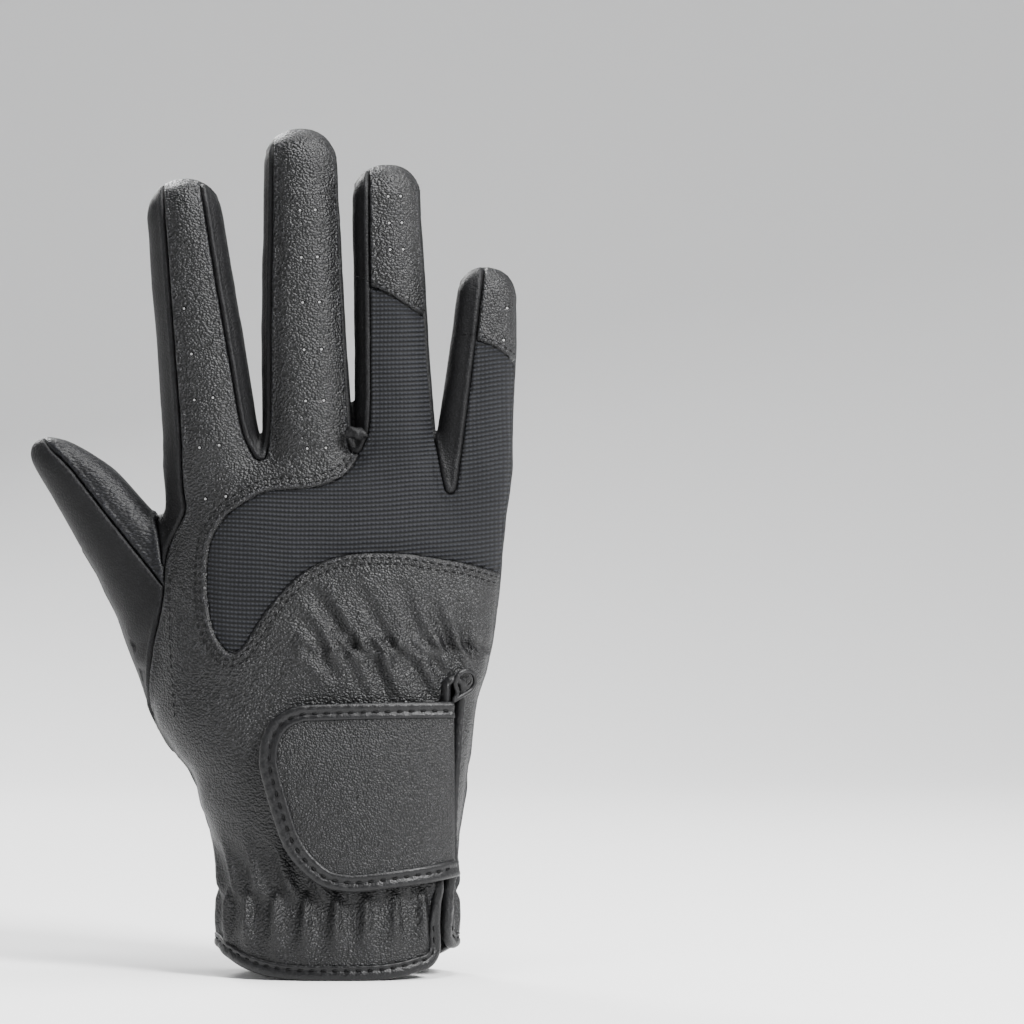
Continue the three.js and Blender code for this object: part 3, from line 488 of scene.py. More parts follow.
# A point of the body's surface at an angle and height: half sizes times the cosine's and the sine's powers.
def bodyPoint(angle, z):
    left, right, back, palm = bodyAt(z)
    across, deep = (signedPower(wave(angle), 2 / hand["power"]) for wave in (np.cos, np.sin))
    x = (right - left) / 2 + (right + left) / 2 * across
    return np.stack([x, np.where(np.sin(angle) < 0, back, palm) * deep, z + 0 * x], -1)


slit = {"height": 77, "half": 2.6, "corner": 5, "rise": 4, "bindingHalf": 2}


# Height of the hem above the wrist's lowest line: it dips on back and palm and rises at both sides.
def hemAt(angle):
    cosine = np.cos(angle)
    return slit["rise"] * (-0.8 + 1.9 * np.maximum(0, -cosine) ** 3 + 1.9 * np.maximum(0, cosine) ** 3)


# The angle at x on the back of the body: minus the arc cosine of x's share of the half width, which is
# first raised to half the section's power.
def backAngle(x, z):
    left, right, _, _ = bodyAt(z)
    share = np.clip((x - (right - left) / 2) / ((right + left) / 2), -0.999, 0.999)
    return -np.arccos(signedPower(share, hand["power"] / 2))


# The angle of the slit's middle, whose x grows with the square of the height.
def slitAngle(z):
    return backAngle((0.945 + 0.1 * (np.maximum(0, z) / slit["height"]) ** 2) * hand["halfWrist"], z)


# Millimetres round the body for a small turn at the slit.
def slitSpeed(z):
    angle = slitAngle(z)
    return np.linalg.norm(bodyPoint(angle + 0.02, z) - bodyPoint(angle - 0.02, z), axis=-1) / 0.04


# Which points are cut away: below the hem, in the slit and in its rounded lower corners.
def isCutAway(x, y, z):
    angle = angleOf(x, y, z)
    turn = (angle - slitAngle(z) + np.pi) % (2 * np.pi) - np.pi
    aside = np.abs(turn * slitSpeed(z))
    foot = slit["bindingHalf"] + hemAt(angle)
    reach = np.clip((slit["half"] + slit["corner"] - aside) / slit["corner"], 0, 1)
    foot = foot + slit["corner"] * (1 - np.sqrt(1 - reach ** 2))
    top = slit["height"] - slit["half"]
    inSlit = np.where(z < top, aside, np.hypot(aside, z - top)) < slit["half"]
    return (z < foot) | (inSlit & (x > 0))


# Whether points lie in one outline where a side is theirs, and in another one elsewhere.
def insideEither(x, z, onFirst, first, second):
    return np.where(onFirst, insideOutline(x, z, first), insideOutline(x, z, second))


# The panel that a point of the hand belongs to: the first zone on its side that holds it.
def panelOf(x, y, z):
    onBack = y < 0
    number = np.where(onBack, panelNumber["backLeather"], panelNumber["palmPanel"])
    for name, outline in (("knitPanel", "knit"), ("pinkyTip", "pinkyTip"), ("ringTip", "ringTip")):
        number = np.where(onBack & insideOutline(x, z, outlines[outline]), panelNumber[name], number)
    inThumb = insideEither(x, z, onBack, outlines["thumbBack"], outlines["thumbPalm"])
    behind = insideEither(x, z, y < thumbMiddle(x, z), outlines["thumbSeamBack"], outlines["thumbSeamPalm"])
    thumbNumber = np.where(behind, panelNumber["thumbBackPanel"], panelNumber["thumbPanel"])
    number = np.where(inThumb, thumbNumber, number)
    for i in reversed(range(len(zones))):
        number = np.where(insideEither(x, z, onBack, *zones[i]), i, number)
    below = z < slit["height"] + 1
    number[below] = np.where(isCutAway(x[below], y[below], z[below]), cutAway, number[below])
    return number


# Joins stray islands to what surrounds them: labels spread along edges inside one panel.
def withoutIslands(numbers, edges, smallest=250):
    same = edges[numbers[edges[:, 0]] == numbers[edges[:, 1]]]
    labels = np.arange(len(numbers))
    for _ in range(400):
        least = np.minimum(labels[same[:, 0]], labels[same[:, 1]])
        spread = labels.copy()
        np.minimum.at(spread, same[:, 0], least)
        np.minimum.at(spread, same[:, 1], least)
        spread = spread[spread]
        if np.array_equal(spread, labels):
            break
        labels = spread
    size = np.bincount(labels, minlength=len(numbers))[labels]
    small = size < smallest
    for _ in range(60):
        rim = edges[small[edges[:, 0]] != small[edges[:, 1]]]
        if len(rim) == 0:
            break
        rim = np.where(small[rim[:, :1]], rim, rim[:, ::-1])
        numbers[rim[:, 0]] = numbers[rim[:, 1]]
        small[rim[:, 0]] = False
    return numbers


numbers = withoutIslands(panelOf(*points.T), edges)
mixed = edges[numbers[edges[:, 0]] != numbers[edges[:, 1]]]
start, end = points[mixed[:, 0]], points[mixed[:, 1]]
shortOf, beyond = np.zeros(len(mixed)), np.ones(len(mixed))
for _ in range(10):
    share = (shortOf + beyond) / 2
    same = panelOf(*(start + (end - start) * share[:, None]).T) == numbers[mixed[:, 0]]
    shortOf = np.where(same, share, shortOf)
    beyond = np.where(same, beyond, share)
share = np.clip((shortOf + beyond) / 2, 0.02, 0.98)
crossing = start + (end - start) * share[:, None]
nearest = np.where(share < 0.5, mixed[:, 0], mixed[:, 1])
hits = np.bincount(nearest, minlength=len(points))
onSeam = hits > 0
for k in range(3):
    total = np.bincount(nearest, crossing[:, k], len(points))
    points[:, k] = np.where(onSeam, total / np.maximum(hits, 1), points[:, k])
points[onSeam] = ontoSurface(points[onSeam], 2)

# Two triangles for each face, cut along the seam or else along the shorter way across.
corners = points[faces]
acrossA, acrossB = (np.linalg.norm(corners[:, k] - corners[:, k + 2], axis=1) for k in (0, 1))
seamA = onSeam[faces[:, 0]] & onSeam[faces[:, 2]]
seamB = onSeam[faces[:, 1]] & onSeam[faces[:, 3]]
turn = np.where(seamA != seamB, seamB, acrossA > acrossB)
faces = np.where(turn[:, None], np.roll(faces, -1, axis=1), faces)
triangles = np.concatenate([faces[:, [0, 1, 2]], faces[:, [0, 2, 3]]])
free = ~onSeam[triangles]
centre = points[triangles].mean(1)
trianglePanel = panelOf(*centre.T)
for k in range(3):
    trianglePanel = np.where(free[:, k], numbers[triangles[:, k]], trianglePanel)
normals = unit(fieldSlope(points))


# Every edge between two panels, with the panels that it parts.
def seamEdges(triangles, panels):
    owners = np.tile(panels, 3)
    pairs = np.sort(sidesOf(triangles), axis=1)
    order = np.lexsort((pairs[:, 1], pairs[:, 0]))
    pairs, owners = pairs[order], owners[order]
    twin = (pairs[1:] == pairs[:-1]).all(1) & (owners[1:] != owners[:-1])
    return pairs[1:][twin], np.sort(np.stack([owners[1:][twin], owners[:-1][twin]], 1), axis=1)


seams, seamPanels = seamEdges(triangles, trianglePanel)
print("stage: panels", {panelRows[i][0]: int(np.sum(trianglePanel == i)) for i in range(cutAway)}, len(seams))


# Soft noise from -1 to 1: random heights on a lattice, mixed with smooth steps.
def softNoise(places, size, layer):
    lattice = np.random.default_rng(100 + layer).uniform(-1, 1, (32, 32, 32))
    scaled = places / size + 7.3 * layer
    base = np.floor(scaled).astype(int)
    share = scaled - base
    share = share * share * (3 - 2 * share)
    total = np.zeros(len(places))
    for corner in np.ndindex(2, 2, 2):
        at = (base + corner) % 32
        weight = np.prod(np.where(np.array(corner) == 1, share, 1 - share), axis=1)
        total += weight * lattice[at[:, 0], at[:, 1], at[:, 2]]
    return total


cuff = {"folds": 21, "elastic": 19.4, "depth": 2.0, "pinch": 0.1, "ring": 12.0}

# The share of the way round the cuff at each angle, from the middle of the back.
ringAngles = np.linspace(-math.pi, math.pi, 721)
ringArc = runLength(bodyPoint(ringAngles, cuff["ring"] + 0 * ringAngles))
ringArc = ringArc / ringArc[-1] - np.interp(-math.pi / 2, ringAngles, ringArc / ringArc[-1])


# The cuff's gathers: ridges below the elastic, and others half a step aside above it.
def cuffFolds(angle, z, places):
    turns = np.interp(angle, ringAngles, ringArc) * cuff["folds"] * 2 * np.pi
    wander = softNoise(places * [1, 1, 0.35], 9, 1)
    lower = (0.5 + 0.5 * np.cos(turns + 0.4 * wander)) ** (1.2 + 2.6 * smoothStep(z, 5, 18))
    upper = (0.5 - 0.5 * np.cos(turns + 0.16 * (z - cuff["elastic"]) + 0.8 * wander)) ** 2
    palmShare = smoothStep(np.sin(angle), -0.3, 0.5)
    belowLine = smoothStep(z, 1, 13) * (1 - smoothStep(z, 16.5, 22)) * (1 - 0.3 * palmShare)
    aboveLine = smoothStep(z, 17, 22) * (1 - smoothStep(z, 23, 38)) * (1 - 0.65 * palmShare)
    uneven = 0.85 + 0.3 * softNoise(places * [1, 1, 0.2], 11, 2)
    pinch = -cuff["pinch"] * bell(z - cuff["elastic"], 2.4)
    return pinch + cuff["depth"] * uneven * ((lower - 0.35) * belowLine + (upper - 0.4) * aboveLine)


shirr = {"line": 85.3, "pitch": 9.3, "depth": 0.55, "pucker": 5.0}


# The elastic on the back of the wrist: slanting folds above and below it, and small puckers on it.
def shirrFolds(x, y, z, places):
    rise = z - shirr["line"] + 0.02 * (x - 20)
    wander = softNoise(places, 8, 3)
    onBack = smoothStep(-y, 1, 6) * smoothStep(x, -9, 3) * (1 - smoothStep(x, 42, 49))
    above = 0.5 + 0.5 * np.cos(2 * np.pi * (x + 0.55 * rise - 8) / shirr["pitch"] + 0.9 * wander)
    below = 0.5 + 0.5 * np.cos(2 * np.pi * (x + 0.5 * rise - 13.5) / shirr["pitch"] + 0.9 * wander)
    aboveLine = smoothStep(rise, 0, 3.5) * (1 - smoothStep(rise, 6, 20))
    belowLine = smoothStep(-rise, 0, 3) * (1 - smoothStep(-rise, 5, 16))
    swing = 0.25 * np.tanh(rise / 1.2)
    pucker = np.cos(2 * np.pi * (x / shirr["pucker"] + swing) + 0.8 * wander) * bell(rise, 3.2)
    folds = (above ** 1.5 - 0.4) * aboveLine + (below ** 1.5 - 0.4) * belowLine + 1.5 * pucker
    return onBack * (shirr["depth"] * folds - 0.5 * bell(rise, 1.6))


creaseRows = [
    # side, start x, start z, end x, end z, width, depth
    ("palm", 30.4, 124, 12, 104, 1.8, -0.9), ("palm", 31, 123, 24, 104, 1.7, -0.7),
    ("palm", 31.5, 123, 40, 110, 1.8, -0.5), ("palm", 30, 125, 16, 116, 1.8, -0.6),
    ("palm", 6.4, 129, 10, 116, 1.8, -0.45), ("palm", 6, 129, 0, 118, 1.7, -0.4),
    ("palm", -18, 126, -20, 114, 1.8, -0.4), ("palm", -30, 108, -24, 99, 1.8, -0.4),
    ("palm", -35.4, 92, -36.6, 104, 3.6, -1.9), ("palm", 33, 121, 20, 96, 3.4, -0.8),
    ("palm", 34, 52, -6, 47, 3.2, -0.6), ("palm", 28, 42, -12, 38, 3.0, -0.45),
    ("back", -55, 84, -46, 93, 2.0, -0.8), ("back", -49, 66, -44, 83, 2.2, -0.6),
    ("back", -52, 78, -49, 60, 2.0, -0.5), ("back", -40, 34, -30, 40, 3.0, -0.6),
    ("back", -43, 46, -30, 52, 3.4, -0.4), ("palm", -44, 46, -30, 44, 3.0, -0.5),
    ("back", 6.1, 86.4, -4.4, 99.8, 2.1, -1.27), ("back", 15.3, 87.2, 7.6, 101.4, 2.1, -1.36),
    ("back", 24.5, 87.4, 18.8, 100.8, 2.1, -1.27), ("back", 31.2, 86.6, 27.2, 98.8, 1.9, -0.85),
    ("back", 36.6, 85.8, 34.3, 96.4, 1.8, -0.68), ("back", 10.6, 86.6, 5.6, 94.6, 1.5, -0.68),
    ("back", 19.8, 87.0, 15.4, 95.4, 1.5, -0.68), ("back", -1.4, 86.0, -6.6, 92.6, 1.8, -0.68),
    ("back", -4.6, 84.2, 1.4, 78.4, 1.8, -0.94), ("back", 4.4, 83.6, 9.0, 74.6, 1.8, -0.85),
    ("back", 11.3, 83.6, 15.8, 71.6, 2.0, -1.19), ("back", 16.4, 83.6, 21.8, 74.2, 1.6, -0.76),
    ("back", 20.8, 83.2, 28.4, 70.4, 2.0, -1.27), ("back", 26.0, 83.2, 32.8, 72.6, 1.8, -0.94),
    ("back", 31.6, 84.0, 35.6, 79.6, 1.5, -0.76),
]


# Single creases: a valley round a line from start to end, with a low ridge on each side of it.
def creases(x, y, z):
    total = np.zeros(np.shape(x))
    for side, startX, startZ, endX, endZ, width, depth in creaseRows:
        dx, dz = endX - startX, endZ - startZ
        share = np.clip(((x - startX) * dx + (z - startZ) * dz) / (dx * dx + dz * dz), 0, 1)
        away = np.hypot(x - startX - share * dx, z - startZ - share * dz) / width
        fade = (1 - 0.75 * share) * (np.sign(y) == (1 if side == "palm" else -1))
        total += depth * fade * (bell(away, 1) - 0.5 * bell(away - 1.7, 1))
    return total


# Everything that lifts or sinks the leather, apart from its seams: folds, creases, and noise of three sizes.
def foldField(places):
    x, y, z = places.T
    lift = cuffFolds(angleOf(x, y, z), z, places) * (z < 60)
    lift += shirrFolds(x, y, z, places) * ((z > 60) & (z < 112)) + creases(x, y, z)
    for depth, size, layer in ((0.34, 17, 4), (0.13, 6, 5), (0.05, 2.6, 6)):
        lift += depth * softNoise(places, size, layer)
    return lift


# How far each vertex lies from the nearest seam, and which seam that is.
samples = [points[seams[:, 0]] * (1 - t) + points[seams[:, 1]] * t for t in (0.125, 0.375, 0.625, 0.875)]
seamTree = KDTree(4 * len(seams))
for i, place in enumerate(np.concatenate(samples).tolist()):
    seamTree.insert(place, i)
seamTree.balance()
found = [seamTree.find(place)[1:] for place in points.tolist()]
nearSeam = np.array([row[0] for row in found]) % len(seams)
seamDistance = np.array([row[1] for row in found])
seamDistance[onSeam] = np.minimum(seamDistance[onSeam], 0.05)
seamPair = seamPanels[nearSeam]
knit, thumb, palm = panelNumber["knitPanel"], panelNumber["thumbPanel"], panelNumber["palmPanel"]
leathers = (panelNumber["backLeather"], panelNumber["ringTip"], panelNumber["pinkyTip"])
isLapped = ((seamPair == knit).any(1) & np.isin(seamPair, leathers).any(1)) | (
    (seamPair == thumb).any(1) & (seamPair == palm).any(1) & (points[:, 1] > 4))
isEdge = (seamPair == cutAway).any(1)

seam = {
    "depth": 0.6, "width": 0.4, "bead": 0.36, "beadAt": 0.95, "beadWidth": 0.6,
    "lapDepth": 0.7, "lapWidth": 0.45, "lapBead": 0.22, "lapBeadAt": 0.9, "step": 0.75,
    "rows": (1.5, 3.1), "groove": 0.16, "grooveWidth": 0.42,
}


# A turned seam's profile: a narrow bell of a valley between two rolled beads.
def turnedSeam(distance):
    valley = -seam["depth"] * bell(distance, seam["width"])
    return valley + seam["bead"] * bell(distance - seam["beadAt"], seam["beadWidth"])


# A lapped seam's upper edge: rounded off at the edge, with a shallow groove for each row of stitches.
def lappedEdge(distance):
    edge = seam["lapBead"] * bell(distance - seam["lapBeadAt"], seam["beadWidth"])
    edge -= seam["lapDepth"] * bell(distance, seam["lapWidth"])
    return edge - seam["groove"] * sum(bell(distance - row, seam["grooveWidth"]) for row in seam["rows"])


folds = foldField(points)


# The lift of one panel's vertices: folds plus the seam's profile, weaker at the thumb's tip.
# Knit and thumb lie a step lower beside the edge that laps over them.
def panelLift(number):
    lapped, turned = lappedEdge(seamDistance), turnedSeam(seamDistance)
    if number == thumb:
        lapped = -seam["step"] * (1 - smoothStep(seamDistance, 0.5, 5))
    if number == knit:
        lapped = -seam["step"] * (1 - 0.5 * smoothStep(seamDistance, 0, 4))
        turned = 0.8 * turned - 0.5 * seam["step"] * smoothStep(seamDistance, 0, 1.5)
    profile = np.where(isEdge, 0, np.where(isLapped, lapped, turned))
    fromTip = np.linalg.norm(points[:, [0, 2]] - thumbPoints[-1], axis=1)
    return folds + profile * (0.25 + 0.75 * smoothStep(fromTip, 2, 9))


# Puts vertices and triangles into a mesh object, in metres and smooth.
def makePiece(name, places, triangles, node=None, slotName=None, values=None):
    mesh = bpy.data.meshes.new(name)
    places = np.asarray(places, np.float32) * millimetre
    triangles = np.asarray(triangles, np.int32)
    mesh.vertices.add(len(places))
    mesh.vertices.foreach_set("co", places.ravel())
    mesh.loops.add(triangles.size)
    mesh.loops.foreach_set("vertex_index", triangles.ravel())
    mesh.polygons.add(len(triangles))
    mesh.polygons.foreach_set("loop_start", np.arange(0, triangles.size, 3, dtype=np.int32))
    mesh.polygons.foreach_set("use_smooth", np.ones(len(triangles), bool))
    mesh.update(calc_edges=True)
    if values is not None:
        attribute = mesh.attributes.new("nearSeam", "FLOAT", "POINT")
        attribute.data.foreach_set("value", np.asarray(values, np.float32))
    piece = bpy.data.objects.new(name, mesh)
    bpy.context.scene.collection.objects.link(piece)
    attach(piece, "root")
    if node is not None:
        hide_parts(*([node] if isinstance(node, str) else node))
    if slotName is not None:
        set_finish(piece, slotName)
    return piece


# Rims draw back from the seam on top and meet below: shares of the step to the neighbours' mean.
rimShift = {"top": 0.22, "under": -0.3}


# A panel of leather: its outer side, its inner side one wall below, and a rim that joins them.
def panelPiece(number):
    name, node, slotName = panelRows[number]
    own = triangles[trianglePanel == number]
    used, faces = np.unique(own, return_inverse=True)
    faces = faces.reshape(-1, 3)
    count = len(used)
    pairs = sidesOf(faces)
    key = np.sort(pairs, axis=1) @ [count, 1]
    _, first, times = np.unique(key, return_index=True, return_counts=True)
    rim = pairs[first[times == 1]]
    outer, out = points[used], normals[used]
    lift = panelLift(number)[used][:, None]
    onRim = np.zeros((count, 1))
    onRim[rim.ravel()] = 1
    inside = onRim * (neighbourMean(outer, edgesOf(faces), count) - outer)
    top = outer + rimShift["top"] * inside + out * lift
    under = outer + rimShift["under"] * inside + out * (lift - hand["wall"])
    walls = np.concatenate([
        np.stack([rim[:, 1], rim[:, 0], rim[:, 0] + count], 1),
        np.stack([rim[:, 1], rim[:, 0] + count, rim[:, 1] + count], 1),
    ])
    shell = np.concatenate([faces, faces[:, ::-1] + count, walls])
    values = np.tile(np.minimum(seamDistance[used], 9), 2)
    return makePiece(name, bend(np.concatenate([top, under])), shell, node, slotName, values)


panels = [panelPiece(number) for number in range(len(panelRows))]
print("stage: panels made", {piece.name: len(piece.data.polygons) for piece in panels})


# Faces between rings of equally many points, closed round each ring, and along the rings if looped.
def ringFaces(rings, around, looped=False):
    r, i = np.divmod(np.arange((rings if looped else rings - 1) * around), around)
    a = r * around + i
    b = r * around + (i + 1) % around
    c = ((r + 1) % rings) * around + (i + 1) % around
    d = ((r + 1) % rings) * around + i
    return np.concatenate([np.stack([a, b, c], 1), np.stack([a, c, d], 1)])


# Faces of a closed tube: its rings joined, and a fan over each end.
def tubeFaces(rings, around):
    fan = np.array([[0, i, i + 1] for i in range(1, around - 1)])
    return np.concatenate([ringFaces(rings, around), fan[:, [0, 2, 1]], fan + (rings - 1) * around])


# Turns faces outward: the volume that they close is positive.
def outward(places, faces):
    a, b, c = places[faces[:, 0]], places[faces[:, 1]], places[faces[:, 2]]
    return faces if np.sum(a * np.cross(b, c)) > 0 else faces[:, ::-1]


# One mesh of several: their points in a row, and each one's faces shifted past the points before it.
def gathered(parts):
    shifts = np.cumsum([0] + [len(places) for places, _ in parts])
    return (np.concatenate([places for places, _ in parts]),
            np.concatenate([faces + shift for (_, faces), shift in zip(parts, shifts)]))


# The body's outward normal, from one step round it and one step up.
def bodyNormal(angle, z):
    around = bodyPoint(angle + 0.02, z) - bodyPoint(angle - 0.02, z)
    up = bodyPoint(angle, z + 0.7) - bodyPoint(angle, z - 0.7)
    return unit(np.cross(around, up))


# The binding's middle line: up the slit's far edge, over its top, down the other edge and round the hem.
def bindingLine():
    low, corner = slit["bindingHalf"], slit["corner"]
    aside = low + 0.6
    top = slit["height"] - aside

    # The angle some millimetres aside of the slit's middle, at a height.
    def place(z, away):
        return slitAngle(z) + away / slitSpeed(z)

    # The hem's height below one of the slit's corners, and the rounded corner above it.
    def foot(side):
        return low + hemAt(place(low, side * (aside + corner)))

    def cornerRows(side, turns):
        heights = foot(side) + corner * (1 - np.sin(turns))
        return [place(heights, side * (aside + corner * (1 - np.cos(turns)))), heights]

    upwards = np.linspace(foot(1) + corner, top, 60)
    over = np.linspace(0, np.pi, 13)[1:-1]
    heightsOver = top + aside * np.sin(over)
    downwards = np.linspace(top, foot(-1) + corner, 60)
    quarter = np.linspace(0, np.pi / 2, 8)[1:-1]
    start, finish = place(low, -aside - corner), place(low, aside + corner) - 2 * np.pi
    hemAngles = np.linspace(start, finish, 220)
    return np.concatenate([
        [place(upwards, aside), upwards], [place(heightsOver, aside * np.cos(over)), heightsOver],
        [place(downwards, -aside), downwards], cornerRows(-1, quarter),
        [hemAngles, low + hemAt(hemAngles)], cornerRows(1, quarter[::-1]),
    ], axis=1)


# Evenly spaced points on a looped or open line.
def evenly(line, step, looped):
    whole = np.concatenate([line, line[:1]]) if looped else line
    arc = runLength(whole)
    number = max(2, int(round(arc[-1] / step)))
    at = np.linspace(0, arc[-1], number if looped else number + 1, endpoint=not looped)
    return np.stack([np.interp(at, arc, whole[:, k]) for k in range(whole.shape[1])], 1)


# The direction along a closed line: from the point before to the point after.
def loopTangent(line):
    return unit(np.roll(line, -1, axis=0) - np.roll(line, 1, axis=0))


# The direction aside of a flat line: its tangent after a quarter turn.
def besideLine(line):
    tangent = unit(np.gradient(line, axis=0))
    return np.stack([tangent[:, 1], -tangent[:, 0]], 1)


# The bound edge of the cuff and slit. Each row is a corner of its section: towards the free edge, out of the
# leather along the hem, and out of the leather along the slit, where it is rolled up like a rope.
cuffEdge = {
    "section": [
        (-2.0, -0.9, -0.6), (-2.02, 0.3, 0.3), (-1.85, 0.62, 0.8), (-1.45, 0.72, 1.35), (-1.05, 0.5, 1.75),
        (-0.75, 0.42, 1.95), (-0.45, 0.55, 2.05), (0.1, 0.85, 2.0), (0.9, 0.92, 1.7), (1.6, 0.6, 1.2),
        (2.02, 0.05, 0.5), (2.15, -0.6, -0.3), (2.0, -1.2, -0.8), (1.4, -1.7, -1.1), (0.4, -1.85, -1.2),
        (-0.8, -1.8, -1.15), (-1.9, -1.6, -0.9),
    ],
    "step": 0.8, "ripple": 0.1, "narrowing": 0.34, "shift": 0.35,
    "stitchAside": -0.78, "stitchLift": 0.5, "stitchPitch": 3.1,
}
angles, heights = bindingLine()
base = bodyPoint(angles, heights)
base = base + bodyNormal(angles, heights) * (0.75 * foldField(base))[:, None]
hemLine = evenly(base, cuffEdge["step"], True)
along = loopTangent(hemLine)
hemOut = bodyNormal(angleOf(*hemLine.T), hemLine[:, 2])
hemOut = unit(hemOut - along * np.sum(hemOut * along, 1)[:, None])
hemSide = np.cross(along, hemOut)
if hemSide[np.argmin(hemLine[:, 2]), 2] > 0:
    hemSide = -hemSide
ripple = np.arange(len(hemLine)) * 2 * np.pi * cuffEdge["step"] / cuffEdge["stitchPitch"]
ripple = cuffEdge["ripple"] * np.sin(ripple)[:, None]
onSlit = (smoothStep(hemLine[:, 2], 9, 20) * (hemLine[:, 0] > 15))[:, None]
rings = []
for i, (aside, hemLift, slitLift) in enumerate(cuffEdge["section"]):
    lift = between((hemLift, slitLift), onSlit) + (ripple if 0 < i < 8 else 0)
    aside = aside * (1 - cuffEdge["narrowing"] * onSlit) + cuffEdge["shift"] * onSlit
    rings.append(hemLine + hemSide * aside + hemOut * lift)
bindingPlaces = np.stack(rings, 1).reshape(-1, 3)
bindingFaces = outward(bindingPlaces, ringFaces(len(hemLine), len(rings), True))

# The closing tab: share of its reach back from the sewn edge, share of its height above its foot.
tabRows = np.array([
    (-0.02, 0.07), (0.13, 0.04), (0.44, 0), (0.57, 0.002), (0.68, 0.035), (0.79, 0.13), (0.87, 0.25),
    (0.93, 0.42), (0.985, 0.61), (1.0, 0.7), (0.985, 0.82), (0.925, 0.92), (0.82, 0.978), (0.68, 0.994),
    (0.0, 1.01),
])
tab = {
    "sewn": 31.6, "overSewn": 0.2, "reach": 49.5, "foot": 20.5, "height": 50, "lift": 1.95, "thickness": 1.5,
    "step": 0.6,
}


# A smooth open line through rows: cubic spans with centred slopes.
def throughRows(rows, each):
    padded = np.concatenate([2 * rows[:1] - rows[1:2], rows, 2 * rows[-1:] - rows[-2:-1]])
    parts = []
    for i in range(1, len(padded) - 2):
        p0, p1, p2, p3 = padded[i - 1:i + 3]
        t = np.linspace(0, 1, each, endpoint=False)[:, None]
        parts.append(0.5 * (2 * p1 + (p2 - p0) * t + (2 * p0 - 5 * p1 + 4 * p2 - p3) * t ** 2
                            + (3 * p1 - p0 - 3 * p2 + p3) * t ** 3))
    return np.concatenate(parts + [rows[-1:]])


# Points over the back of the wrist at x, z, lifted off the body.
def overBack(flatPlaces, lift):
    x, z = flatPlaces.T
    angle = backAngle(x, z)
    return bodyPoint(angle, z) + bodyNormal(angle, z) * np.reshape(lift, (-1, 1))


# The piping's curl at the slit's top: a closed loop of rope laid on the rim.
curl = {
    "radius": 0.66, "lift": 1.85, "sides": 12, "step": 0.4,
    "places": [
        (32.2, 71.0), (34.4, 72.5), (36.6, 74.1), (37.8, 76.3), (37.4, 78.4), (35.6, 79.2), (33.8, 78.1),
        (32.9, 75.9), (33.3, 73.2), (32.2, 71.0),
    ],
}
curlLine = evenly(throughRows(np.array(curl["places"]), 10), curl["step"], False)[:-1]
spine = overBack(curlLine, curl["lift"])  # the rope's middle
out = (overBack(curlLine, curl["lift"] + 1) - spine)[:, None]
side = np.cross(loopTangent(spine)[:, None], out)
turns = np.linspace(0, 2 * np.pi, curl["sides"], endpoint=False)[:, None]
rope = (spine[:, None] + curl["radius"] * (side * np.cos(turns) + out * np.sin(turns))).reshape(-1, 3)
ropeFaces = outward(rope - rope.mean(0), ringFaces(len(spine), curl["sides"], True))
places, faces = gathered([(bindingPlaces, bindingFaces), (rope, ropeFaces)])
cuffBinding = makePiece("cuffBinding", bend(places), faces, "cuff_binding", "binding")

tabCorner = np.array([tab["sewn"], tab["foot"]])
tabLine = evenly(throughRows(tabCorner + tabRows * [-tab["reach"], tab["height"]], 10), tab["step"], False)
inward = besideLine(tabLine)
tabLine[:, 0] = np.minimum(tabLine[:, 0], tab["sewn"] + tab["overSewn"])
middleOfTab = np.array([tab["sewn"] - tab["reach"] / 2, tab["foot"] + tab["height"] / 2])
inward *= np.sign(np.sum(inward * (middleOfTab - tabLine), 1))[:, None]


# The tab's line drawn in by a distance, and no further than its sewn edge.
def insideTab(distance):
    places = tabLine + inward * distance
    places[:, 0] = np.minimum(places[:, 0], tab["sewn"] + tab["overSewn"])
    return places


# The tab's binding: a rolled outer edge, then a stitched band. Each row: how far in, how far off the body.
tabEdge = {
    "section": [
        (4.6, 1.75), (3.2, 1.7), (1.6, 1.65), (0.6, 1.8), (0.12, 2.3), (0.0, 2.9), (0.15, 3.5),
        (0.7, 3.95), (1.4, 4.05), (2.05, 3.8), (2.45, 3.62), (2.75, 3.55), (3.05, 3.6), (3.4, 3.85),
        (4.1, 3.95), (4.6, 3.8), (4.85, 3.4), (4.8, 2.6),
    ],
    "ripple": 0.06, "stitchInside": 2.75, "stitchLift": 3.62, "stitchPitch": 3.2,
}
ripple = np.arange(len(tabLine)) * 2 * np.pi * tab["step"] / tabEdge["stitchPitch"]
ripple = tabEdge["ripple"] * np.sin(ripple)
rings = [
    overBack(insideTab(inside), lift + (ripple if inside < 4 and lift > 3 else 0))
    for inside, lift in tabEdge["section"]
]
flat = np.stack(rings, 1).reshape(-1, 3)
faces = outward(flat, tubeFaces(len(tabLine), len(rings)))
tabBinding = makePiece("tabBinding", bend(flat), faces, "tab_binding", "binding")

# The tab's leather: rings drawn in from the band's inner edge to the tab's middle, above and below.
tabInner = {"inside": 4.3, "closing": 70, "rings": 34, "sunk": 0.05, "puff": 0.12, "puffSize": 9}
innerRim = insideTab(tabInner["inside"])
loop = np.concatenate([innerRim, np.linspace(innerRim[-1], innerRim[0], tabInner["closing"])[1:-1]])
upper, lower = [], []
for share in np.linspace(1, 0.02, tabInner["rings"]):
    ring = between((middleOfTab, loop), share)
    puff = softNoise(np.column_stack([ring[:, 0], 0 * ring[:, 0], ring[:, 1]]), tabInner["puffSize"], 9)
    upper.append(overBack(ring, tab["lift"] + tab["thickness"] - tabInner["sunk"] + tabInner["puff"] * puff))
    lower.append(overBack(ring, tab["lift"] - tabInner["sunk"]))
rings = lower[::-3] + upper
flat = np.concatenate(rings)
faces = outward(flat, tubeFaces(len(rings), len(loop)))
closingTab = makePiece("closingTab", bend(flat), faces, "closing_tab", "tab_leather")

